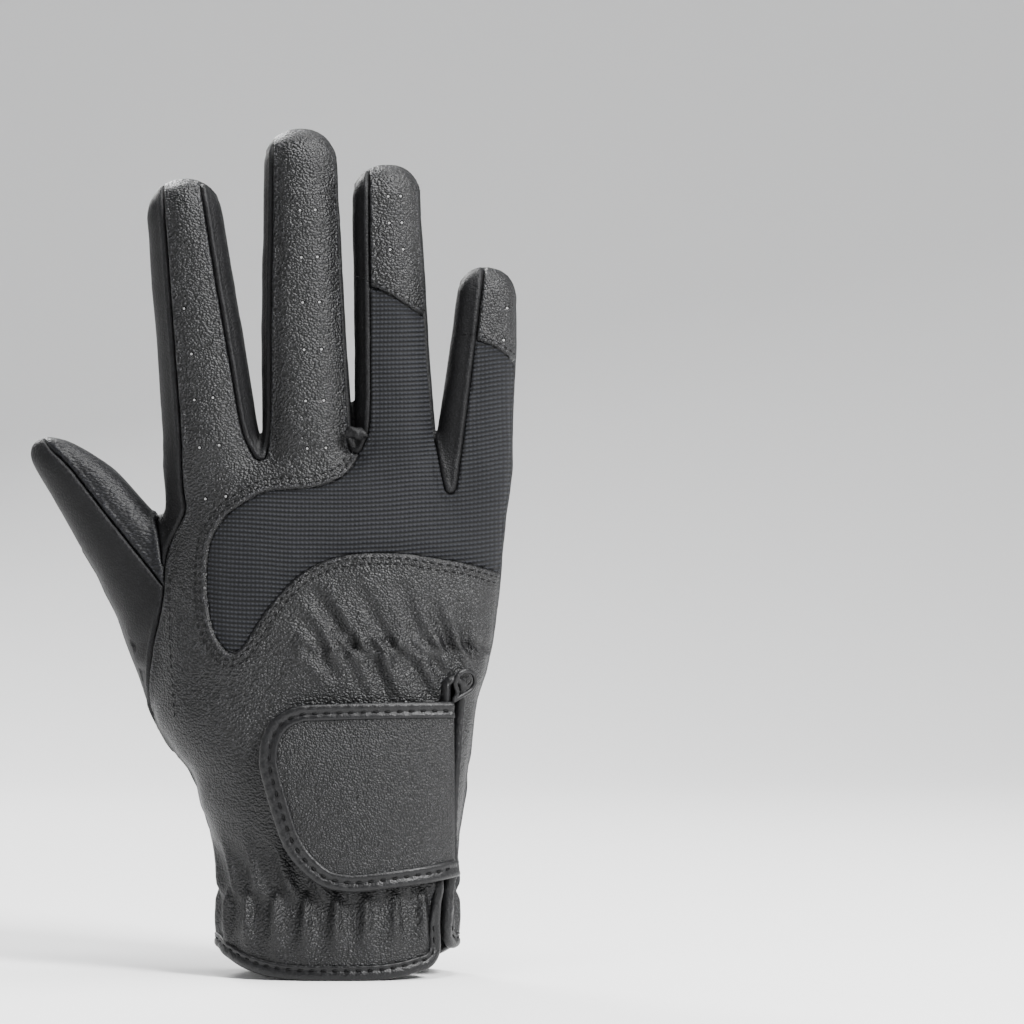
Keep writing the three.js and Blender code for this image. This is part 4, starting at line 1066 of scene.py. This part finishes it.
# The knot of rolled leather in the crotch between middle and ring finger: a long ball with a winding swell.
knot = {"place": (7.0, -9.6, 142.6), "half": 3.0, "radius": 1.75, "turn": 0.2, "around": 40, "rings": 25}
u = np.linspace(0, 2 * np.pi, knot["around"], endpoint=False)[:, None]
v = np.linspace(0, np.pi, knot["rings"])[None, :] + 0 * u
ball = np.stack([np.cos(v), np.sin(v) * np.cos(u), np.sin(v) * np.sin(u)], -1)
swell = 1 + 0.1 * np.sin(2 * u + 5 * v) + 0.07 * np.sin(6 * v)
ball = ball * [knot["half"], knot["radius"], knot["radius"]] * swell[..., None]
cosTurn, sinTurn = math.cos(knot["turn"]), math.sin(knot["turn"])
spun = np.stack([ball[..., 0] * cosTurn + ball[..., 2] * sinTurn, ball[..., 1],
                 ball[..., 2] * cosTurn - ball[..., 0] * sinTurn], -1)
flat = np.swapaxes(spun, 0, 1).reshape(-1, 3) + knot["place"]
faces = outward(flat, ringFaces(knot["rings"], knot["around"]))
crotchKnot = makePiece("crotchKnot", bend(flat), faces, "crotch_knot", "strip_leather")
print("stage: binding, tab and knot made")



# A piece's points in millimetres and its triangles.
def meshOf(piece):
    mesh = piece.data
    places = np.empty(len(mesh.vertices) * 3, np.float32)
    mesh.vertices.foreach_get("co", places)
    corners = np.empty(len(mesh.polygons) * 3, np.int32)
    mesh.loops.foreach_get("vertex_index", corners)
    return places.reshape(-1, 3) / millimetre, corners.reshape(-1, 3)


# The seen surface, for everything that is sewn into it
places, faces = gathered([meshOf(piece) for piece in [*panels, cuffBinding, tabBinding, closingTab]])
surface = BVHTree.FromPolygons(places.tolist(), faces.tolist())


# Drops x, z points onto the seen surface from the back or from the palm side.
def dropOnto(flatPlaces, side):
    direction = Vector((0, 1, 0) if side == "back" else (0, -1, 0))
    start = -60 if side == "back" else 60
    places, outs = [], []
    for x, z in flatPlaces:
        hit, out, _, _ = surface.ray_cast(Vector((x, start, z)), direction)
        if hit is not None:
            places.append(hit)
            outs.append(out)
    return np.array(places).reshape(-1, 3), np.array(outs).reshape(-1, 3)


# length: share of the pitch. sink: share of the radius that lies in the leather.
thread = {"rings": 7, "sides": 6, "wobble": 0.1, "arch": 0.1, "step": 0.7}
seamThread = {"length": 0.62, "radius": 0.24, "sink": 0.3}
fineThread = {"length": 0.62, "radius": 0.18, "sink": 0.5}
boldThread = {"length": 0.55, "radius": 0.27, "sink": 0.1}


# Stitches along a line of points: tubes whose squared radius falls with the fourth power of the way to
# their ends, each swung aside a little.
def stitchesOn(places, outs, pitch, kind):
    arc = runLength(places)
    number = int(arc[-1] / pitch)
    centres = (np.arange(number) + 0.5) * arc[-1] / number
    rows = np.linspace(-1, 1, thread["rings"])
    scale = kind["radius"] * np.sqrt(np.clip(1 - rows ** 4, 0.02, 1))[:, None, None]
    arch = (1 - rows ** 2) * thread["arch"] - kind["radius"] * kind["sink"]
    turns = np.linspace(0, 2 * np.pi, thread["sides"], endpoint=False)[None, :, None]
    shape = tubeFaces(thread["rings"], thread["sides"])
    wobble = randomness.uniform(-thread["wobble"], thread["wobble"], (number, 2))
    parts = []
    for centre, (sway, _) in zip(centres, wobble):
        at = np.clip(centre + rows * pitch * kind["length"] / 2, 0, arc[-1])
        spine = np.stack([np.interp(at, arc, places[:, j]) for j in range(3)], 1)
        out = unit(np.array([np.interp(centre, arc, outs[:, j]) for j in range(3)]))
        side = np.cross(unit(spine[-1] - spine[0]), out)
        spine = spine + side * sway * rows[:, None] + out * arch[:, None]
        flat = (spine[:, None] + scale * (side * np.cos(turns) + out * np.sin(turns))).reshape(-1, 3)
        parts.append((flat, outward(flat - flat.mean(0), shape)))
    return gathered(parts)


# An outline's part between two rows, moved aside by a distance in its plane.
def besideRows(rows, first, last, distance):
    line = evenly(throughRows(np.array(rows[first:last + 1]) * handScale, 8), thread["step"], False)
    return line + distance * besideLine(line)


threadRows = [
    # outline, first row, last row, side, distances beside it, pitch
    ("knit", 0, 27, "back", seam["rows"], 2.3),
    ("ringTip", 0, 5, "back", (-1.3,), 2.1),
    ("pinkyTip", 0, 4, "back", (-1.3,), 2.1),
    ("thumbPalm", 3, 14, "palm", [-row for row in seam["rows"]], 2.3),
]
threads = []
for name, first, last, side, distances, pitchOf in threadRows:
    for distance in distances:
        line = besideRows(outlineRows[name], first, last, distance)
        threads.append(stitchesOn(*dropOnto(line, side), pitchOf, seamThread))
backTack = {"pitch": 2.6, "places": [(-43.5, 104.5), (-43.2, 88.3), (-41.6, 65.9)]}
line = evenly(np.array(backTack["places"]), thread["step"], False)
threads.append(stitchesOn(*dropOnto(line, "back"), backTack["pitch"], fineThread))
hem = bend(hemLine + hemSide * cuffEdge["stitchAside"] + hemOut * cuffEdge["stitchLift"])
hem, hemOut = (np.concatenate([rows, rows[:1]]) for rows in (hem, hemOut))
threads.append(stitchesOn(hem, hemOut, cuffEdge["stitchPitch"], boldThread))
band = (tabLine + inward * tabEdge["stitchInside"])[tabLine[:, 0] < tab["sewn"] - 0.5]
bandLow, bandHigh = (overBack(band, tabEdge["stitchLift"] + more) for more in (0, 1))
threads.append(stitchesOn(bend(bandLow), bandHigh - bandLow, tabEdge["stitchPitch"], boldThread))
stitches = makePiece("stitches", *gathered(threads))

# Air holes through the backs of the fingers: each a dark dish of painted shade, standing for the hole's
# shaded inside, with the pale lining seen in its middle.
hole = {"radius": 0.56, "lift": 0.04, "liningRadius": 0.34, "liningLift": 0.07, "liningAside": (-0.08, -0.08)}
holeRows = [
    # finger, shares of its length, shares of its half width
    ("index", (0.63,), (-0.21,)), ("index", (0.5,), (-0.15,)), ("index", (0.37, 0.235, 0.09), (-0.2, 0.2)),
    ("middle", (0.79, 0.67, 0.555, 0.435, 0.305, 0.185), (0.02, 0.42)),
    ("ring", (0.91, 0.835, 0.76), (0.08, 0.44)), ("pinky", (0.86,), (0.72,)), ("pinky", (0.745,), (0.66,)),
]
holeCentres = np.array([
    onFinger(name, share, aside)
    for name, shares, asides in holeRows for share in shares for aside in asides])


# Small discs laid on the back of the glove: points at a radius round each centre, and a fan from the centre.
def discsAt(centres, radius, lift, corners=16):
    turns = np.linspace(0, 2 * np.pi, corners, endpoint=False)
    fan = np.array([[corners, (i + 1) % corners, i] for i in range(corners)])
    parts = []
    for centre in centres:
        disc = centre + radius * np.stack([np.cos(turns), np.sin(turns)], 1)
        places, outs = dropOnto(np.concatenate([disc, centre[None]]), "back")
        out = outs.mean(0)
        facing = np.cross(places[1] - places[-1], places[0] - places[-1]) @ out
        parts.append((places + out * lift, fan if facing > 0 else fan[:, ::-1]))
    return gathered(parts)


# Dark discs of painted shade where the holes are, laid just above the leather.
holeShadeDiscs = makePiece("holeShadeDiscs", *discsAt(holeCentres, hole["radius"], hole["lift"]))
linings = discsAt(holeCentres + hole["liningAside"], hole["liningRadius"], hole["liningLift"])
holeLinings = makePiece("holeLinings", *linings)
print("stage: stitches and holes made", len(stitches.data.polygons), len(holeShadeDiscs.data.polygons))


# A material and its shader, with a plain colour, a roughness and a specular level.
def newMaterial(name, color, roughness, specular=0.5):
    material = bpy.data.materials.new(name)
    material.use_nodes = True
    shader = material.node_tree.nodes["Principled BSDF"]
    shader.inputs["Base Color"].default_value = (*color, 1)
    shader.inputs["Roughness"].default_value = roughness
    shader.inputs["Specular IOR Level"].default_value = specular
    return material, shader


# A node group with named inputs and outputs: its tree, its inputs' sockets and its output node.
def newGroup(name, inputs, outputs):
    group = bpy.data.node_groups.new(name, "ShaderNodeTree")
    for label, value in inputs.items():
        socket = group.interface.new_socket(label, in_out="INPUT", socket_type="NodeSocketFloat")
        socket.default_value = value
    for label, kind in outputs.items():
        group.interface.new_socket(label, in_out="OUTPUT", socket_type=kind)
    return group, group.nodes.new("NodeGroupInput").outputs, group.nodes.new("NodeGroupOutput")


# Feeds a node's input: another node's output is joined to it, anything else is its value.
def feed(tree, target, value):
    if isinstance(value, bpy.types.NodeSocket):
        tree.links.new(value, target)
    else:
        target.default_value = value


# A node with its settings. in_ stands before the label or number of an input, and the rest are properties.
def addNode(tree, kind, **settings):
    node = tree.nodes.new(kind)
    for label, value in settings.items():
        if label.startswith("in_"):
            key = label[3:]
            feed(tree, node.inputs[int(key) if key.isdigit() else key], value)
        else:
            setattr(node, label, value)
    return node


# The result of one operation on two or three values.
def mathNode(tree, operation, a, b=0.0, c=0.0):
    return addNode(tree, "ShaderNodeMath", operation=operation, in_0=a, in_1=b, in_2=c).outputs[0]


# Noise of a scale and detail, at a place.
def noiseNode(tree, place, scale, detail):
    return addNode(tree, "ShaderNodeTexNoise", in_Scale=scale, in_Detail=detail, in_Vector=place)


# A colour from hollow to crest, as a value goes from low to high.
def rampNode(tree, value, low, high, hollow, crest):
    node = addNode(tree, "ShaderNodeValToRGB", in_0=value)
    for element, position, color in zip(node.color_ramp.elements, (low, high), (hollow, crest)):
        element.position, element.color = position, (*color, 1)
    return node.outputs[0]


# Leather grain: pebbles between fine wrinkles, stretched along x, as a normal, a height and a broad noise.
grain = {
    "warpScale": 1400.0, "warp": 0.0004, "smoothness": 0.2, "fineScale": 3000.0, "fine": 0.5, "lump": 0.0003,
    "broadScale": 60.0,
}
grainGroup, grainIn, grainOut = newGroup(
    "leatherGrain", {"Cells": 900.0, "Stretch": 1.0, "Depth": 0.25},
    {"Normal": "NodeSocketVector", "Height": "NodeSocketFloat", "Broad": "NodeSocketFloat"})
tree = grainGroup
place = addNode(tree, "ShaderNodeTexCoord").outputs["Object"]
x, y, z = addNode(tree, "ShaderNodeSeparateXYZ", in_0=place).outputs
x = mathNode(tree, "DIVIDE", x, grainIn["Stretch"])
stretched = addNode(tree, "ShaderNodeCombineXYZ", in_0=x, in_1=y, in_2=z).outputs[0]
warp = noiseNode(tree, stretched, grain["warpScale"], 2.0).outputs["Color"]
moved = addNode(
    tree, "ShaderNodeVectorMath", operation="MULTIPLY_ADD", in_0=warp, in_1=[grain["warp"]] * 3,
    in_2=stretched)
pebbles = addNode(
    tree, "ShaderNodeTexVoronoi", feature="SMOOTH_F1", in_Smoothness=grain["smoothness"],
    in_Vector=moved.outputs[0], in_Scale=grainIn["Cells"])
fine = noiseNode(tree, stretched, grain["fineScale"], 2.0).outputs[0]
height = mathNode(tree, "SUBTRACT", 1.0, pebbles.outputs["Distance"])
height = mathNode(tree, "ADD", height, mathNode(tree, "MULTIPLY", fine, grain["fine"]))
lumps = addNode(
    tree, "ShaderNodeBump", in_Distance=grain["lump"], in_Strength=grainIn["Depth"], in_Height=height)
feed(tree, grainOut.inputs["Normal"], lumps.outputs[0])
feed(tree, grainOut.inputs["Height"], height)
feed(tree, grainOut.inputs["Broad"], noiseNode(tree, place, grain["broadScale"], 3.0).outputs[0])

# Knit: ribs across the hand and finer columns along it, waved by a soft noise.
knitting = {
    "bow": -1.6, "swayScale": 35.0, "swayUp": 0.0022, "swayAside": 0.0018, "ribSwell": 0.5,
    "columnSwell": 0.22, "fuzzScale": 3200.0, "fuzz": 0.3, "strength": 0.9, "lump": 0.0005,
}
knitGroup, knitIn, knitOut = newGroup(
    "ribbedKnit", {"Rib": 0.0012, "Column": 0.0011},
    {"Normal": "NodeSocketVector", "Height": "NodeSocketFloat"})
tree = knitGroup
place = addNode(tree, "ShaderNodeTexCoord").outputs["Object"]
x, y, z = addNode(tree, "ShaderNodeSeparateXYZ", in_0=place).outputs
sway = noiseNode(tree, place, knitting["swayScale"], 1.0).outputs[0]


# A wave along a length that the noise sways: one, less the swell, plus the swell times the sine of its turns.
def knitWave(length, swing, pitch, swell):
    moved = mathNode(tree, "ADD", length, mathNode(tree, "MULTIPLY", sway, swing))
    turns = mathNode(tree, "MULTIPLY", mathNode(tree, "DIVIDE", moved, pitch), 2 * math.pi)
    return mathNode(tree, "MULTIPLY_ADD", mathNode(tree, "SINE", turns), swell, 1 - swell)


bow = mathNode(tree, "MULTIPLY", mathNode(tree, "MULTIPLY", x, x), knitting["bow"])
rib = knitWave(mathNode(tree, "ADD", z, bow), knitting["swayUp"], knitIn["Rib"], knitting["ribSwell"])
column = knitWave(x, knitting["swayAside"], knitIn["Column"], knitting["columnSwell"])
fuzz = noiseNode(tree, place, knitting["fuzzScale"], 2.0).outputs[0]
height = mathNode(tree, "MULTIPLY", rib, column)
height = mathNode(tree, "ADD", height, mathNode(tree, "MULTIPLY", fuzz, knitting["fuzz"]))
lumps = addNode(
    tree, "ShaderNodeBump", in_Strength=knitting["strength"], in_Distance=knitting["lump"], in_Height=height)
feed(tree, knitOut.inputs["Normal"], lumps.outputs[0])
feed(tree, knitOut.inputs["Height"], height)

# Colour settings of the leather: where and how strongly the seams' beads get a painted highlight, the grain's
# weight and the ramp from painted shade in its hollows to painted highlights on its crests, and the
# roughness' broad wander.
grainAndPaintedSheen = {
    "riseFrom": 0.3, "riseTo": 0.8, "fallFrom": 1.9, "fallTo": 1.1, "paintedBeadHighlight": 0.12, "grain": 0.8,
    "low": 0.66, "high": 0.98, "broad": 0.16,
}


# Leather: one colour from hollow to crest, darker in the grain's hollows as painted shade and paler on its
# crests as painted highlights, paler still on the beads beside its seams as a painted highlight, the grain's
# normal, and a roughness that wanders broadly.
def leather(name, hollow, crest, roughness, cells, stretch, depth, specular):
    material, shader = newMaterial(name, crest, roughness, specular)
    tree = material.node_tree
    own = addNode(
        tree, "ShaderNodeGroup", node_tree=grainGroup, in_Cells=cells, in_Stretch=stretch, in_Depth=depth)
    near = addNode(tree, "ShaderNodeAttribute", attribute_name="nearSeam").outputs["Fac"]
    rise, fall = (
        addNode(tree, "ShaderNodeMapRange", interpolation_type="SMOOTHSTEP", in_0=near,
                in_1=grainAndPaintedSheen[way + "From"], in_2=grainAndPaintedSheen[way + "To"]).outputs[0] for way in ("rise", "fall"))
    # Painted highlight: the rolled beads about 0.3 to 1.9 mm beside the seams are made paler, as where light
    # catches them.
    paintedBeadHighlight = mathNode(tree, "MULTIPLY", mathNode(tree, "MULTIPLY", rise, fall), grainAndPaintedSheen["paintedBeadHighlight"])
    level = mathNode(tree, "MULTIPLY_ADD", own.outputs["Height"], grainAndPaintedSheen["grain"], paintedBeadHighlight)
    # Painted shade in the grain's hollows and painted highlights on its crests, over the leather's own dark
    # tone.
    color = rampNode(tree, level, grainAndPaintedSheen["low"], grainAndPaintedSheen["high"], hollow, crest)
    lowest = roughness - grainAndPaintedSheen["broad"] / 2
    rough = mathNode(tree, "MULTIPLY_ADD", own.outputs["Broad"], grainAndPaintedSheen["broad"], lowest)
    feed(tree, shader.inputs["Base Color"], color)
    feed(tree, shader.inputs["Normal"], own.outputs["Normal"])
    feed(tree, shader.inputs["Roughness"], rough)
    return material


leatherLooks = {
    # slot: material, colour of hollows (painted shade) and of crests (painted highlights), then roughness,
    # cells, stretch, depth and specular
    "back_leather": ("backLeatherFinish", (0.0008, 0.0008, 0.001), (0.0175, 0.0177, 0.0205),
                     0.41, 1700.0, 1.15, 1.0, 0.34),
    "palm_leather": ("palmLeatherFinish", (0.002, 0.0021, 0.0027), (0.0095, 0.0099, 0.0128),
                     0.48, 1700.0, 2.2, 0.6, 0.25),
    "strip_leather": ("stripLeatherFinish", (0.0022, 0.0022, 0.0025), (0.0088, 0.0089, 0.0102),
                      0.56, 1900.0, 1.0, 0.4, 0.2),
    "tab_leather": ("tabLeatherFinish", (0.0008, 0.0008, 0.001), (0.0165, 0.0167, 0.0195),
                    0.43, 1800.0, 1.0, 1.0, 0.32),
    "binding": ("bindingFinish", (0.0028, 0.0028, 0.0032), (0.0092, 0.0093, 0.0108),
                0.42, 1700.0, 1.0, 0.3, 0.3),
}
finishes = {slotName: leather(*look) for slotName, look in leatherLooks.items()}
finishes["knit"], shader = newMaterial("knitFinish", (0.01, 0.012, 0.016), 0.75, 0.25)
tree = finishes["knit"].node_tree
weave = addNode(tree, "ShaderNodeGroup", node_tree=knitGroup)
# The knit's colour follows the weave's height: its own dark tone on the ribs, with painted shade in the
# grooves between ribs and columns.
color = rampNode(tree, weave.outputs["Height"], 0.3, 1.0, (0.0004, 0.0005, 0.0008), (0.0125, 0.0136, 0.0175))
feed(tree, shader.inputs["Base Color"], color)
feed(tree, shader.inputs["Normal"], weave.outputs["Normal"])
for piece in [*panels, cuffBinding, tabBinding, closingTab, crotchKnot]:
    piece.data.materials.append(finishes[piece["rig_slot"]])
# Plain finishes: dark thread, painted shade for the holes' dark discs, and the pale lining.
for piece, look in (
        (stitches, ("threadFinish", (0.002, 0.002, 0.0022), 0.6, 0.15)),
        (holeShadeDiscs, ("paintedHoleShade", (0.001, 0.001, 0.001), 0.9, 0.0)),
        (holeLinings, ("liningFinish", (0.2, 0.2, 0.2), 0.8))):
    piece.data.materials.append(newMaterial(*look)[0])
print("stage: finishes set")

# A floor that sweeps up behind the glove: flat, then a quarter circle, then upright.
backdrop = {
    "height": -3.2 * millimetre, "front": -3.0, "curveFrom": 0.9, "radius": 1.2, "top": 4.0, "half": 4.0,
    "steps": 24, "tone": 0.88,
}
sweepTurn = np.linspace(0, np.pi / 2, backdrop["steps"])
curveY = backdrop["curveFrom"] + backdrop["radius"] * np.sin(sweepTurn)
curveZ = backdrop["radius"] - backdrop["radius"] * np.cos(sweepTurn)
profile = np.concatenate([
    [[backdrop["front"], 0.0]], np.stack([curveY, curveZ], 1),
    [[backdrop["curveFrom"] + backdrop["radius"], backdrop["top"]]]])
profile[:, 1] += backdrop["height"]
stepsUp = len(profile)
sweep = np.concatenate(
    [np.column_stack([np.full(stepsUp, x), profile]) for x in (-backdrop["half"], backdrop["half"])])
faces = [(i, i + stepsUp, i + stepsUp + 1, i + 1) for i in range(stepsUp - 1)]
floorMesh = bpy.data.meshes.new("floor")
floorMesh.from_pydata(sweep.tolist(), [], faces)
floorMesh.polygons.foreach_set("use_smooth", np.ones(len(faces), bool))
floor = bpy.data.objects.new("floor", floorMesh)
bpy.context.scene.collection.objects.link(floor)
floorMesh.materials.append(newMaterial("floorFinish", [backdrop["tone"]] * 3, 0.9)[0])

lightRows = {
    # place in metres, width and height, watts
    "keyBox": ((0.68, -0.66, 0.85), (0.26, 0.4), 38),
    "fillBox": ((-0.95, -0.8, 0.45), (0.5, 0.8), 2.5),
    "topBox": ((0.1, -0.05, 1.0), (0.6, 0.3), 15),
    "palmBox": ((-0.45, 0.95, 0.8), (0.35, 0.5), 16),
    "leftRim": ((-0.8, 0.3, 0.2), (0.2, 0.8), 2.5),
    "rightRim": ((0.8, 0.35, 0.25), (0.2, 0.8), 3),
}


# A soft box: a rectangular area light that is turned towards the middle of the glove.
def softBox(name, place, size, power, aim=(0, 0, 0.11)):
    light = bpy.data.lights.new(name, "AREA")
    light.shape = "RECTANGLE"
    light.size, light.size_y = size
    light.energy = power
    holder = bpy.data.objects.new(name, light)
    bpy.context.scene.collection.objects.link(holder)
    holder.location = place
    holder.rotation_euler = (Vector(aim) - Vector(place)).to_track_quat("-Z", "Y").to_euler()


for name, row in lightRows.items():
    softBox(name, *row)
world = bpy.data.worlds.new("studio")
world.use_nodes = True
skyColor, skyStrength = world.node_tree.nodes["Background"].inputs[:2]
skyColor.default_value, skyStrength.default_value = (0.9, 0.92, 0.95, 1), 0.22
bpy.context.scene.world = world

# The camera looks straight at the back of the hand. frame: the picture's width in metres at the glove.
view = {"frame": 0.2765, "away": 1.3, "sensor": 36, "x": 0.0489, "z": 0.1215}
lens = bpy.data.cameras.new("camera")
lens.sensor_width = view["sensor"]
lens.lens = view["sensor"] * view["away"] / view["frame"]
lens.clip_start = 0.05
camera = bpy.data.objects.new("camera", lens)
camera.location = (view["x"], -view["away"], view["z"])
camera.rotation_euler = (math.pi / 2, 0, 0)
bpy.context.scene.collection.objects.link(camera)
bpy.context.scene.camera = camera
print("stage: lights and camera set")
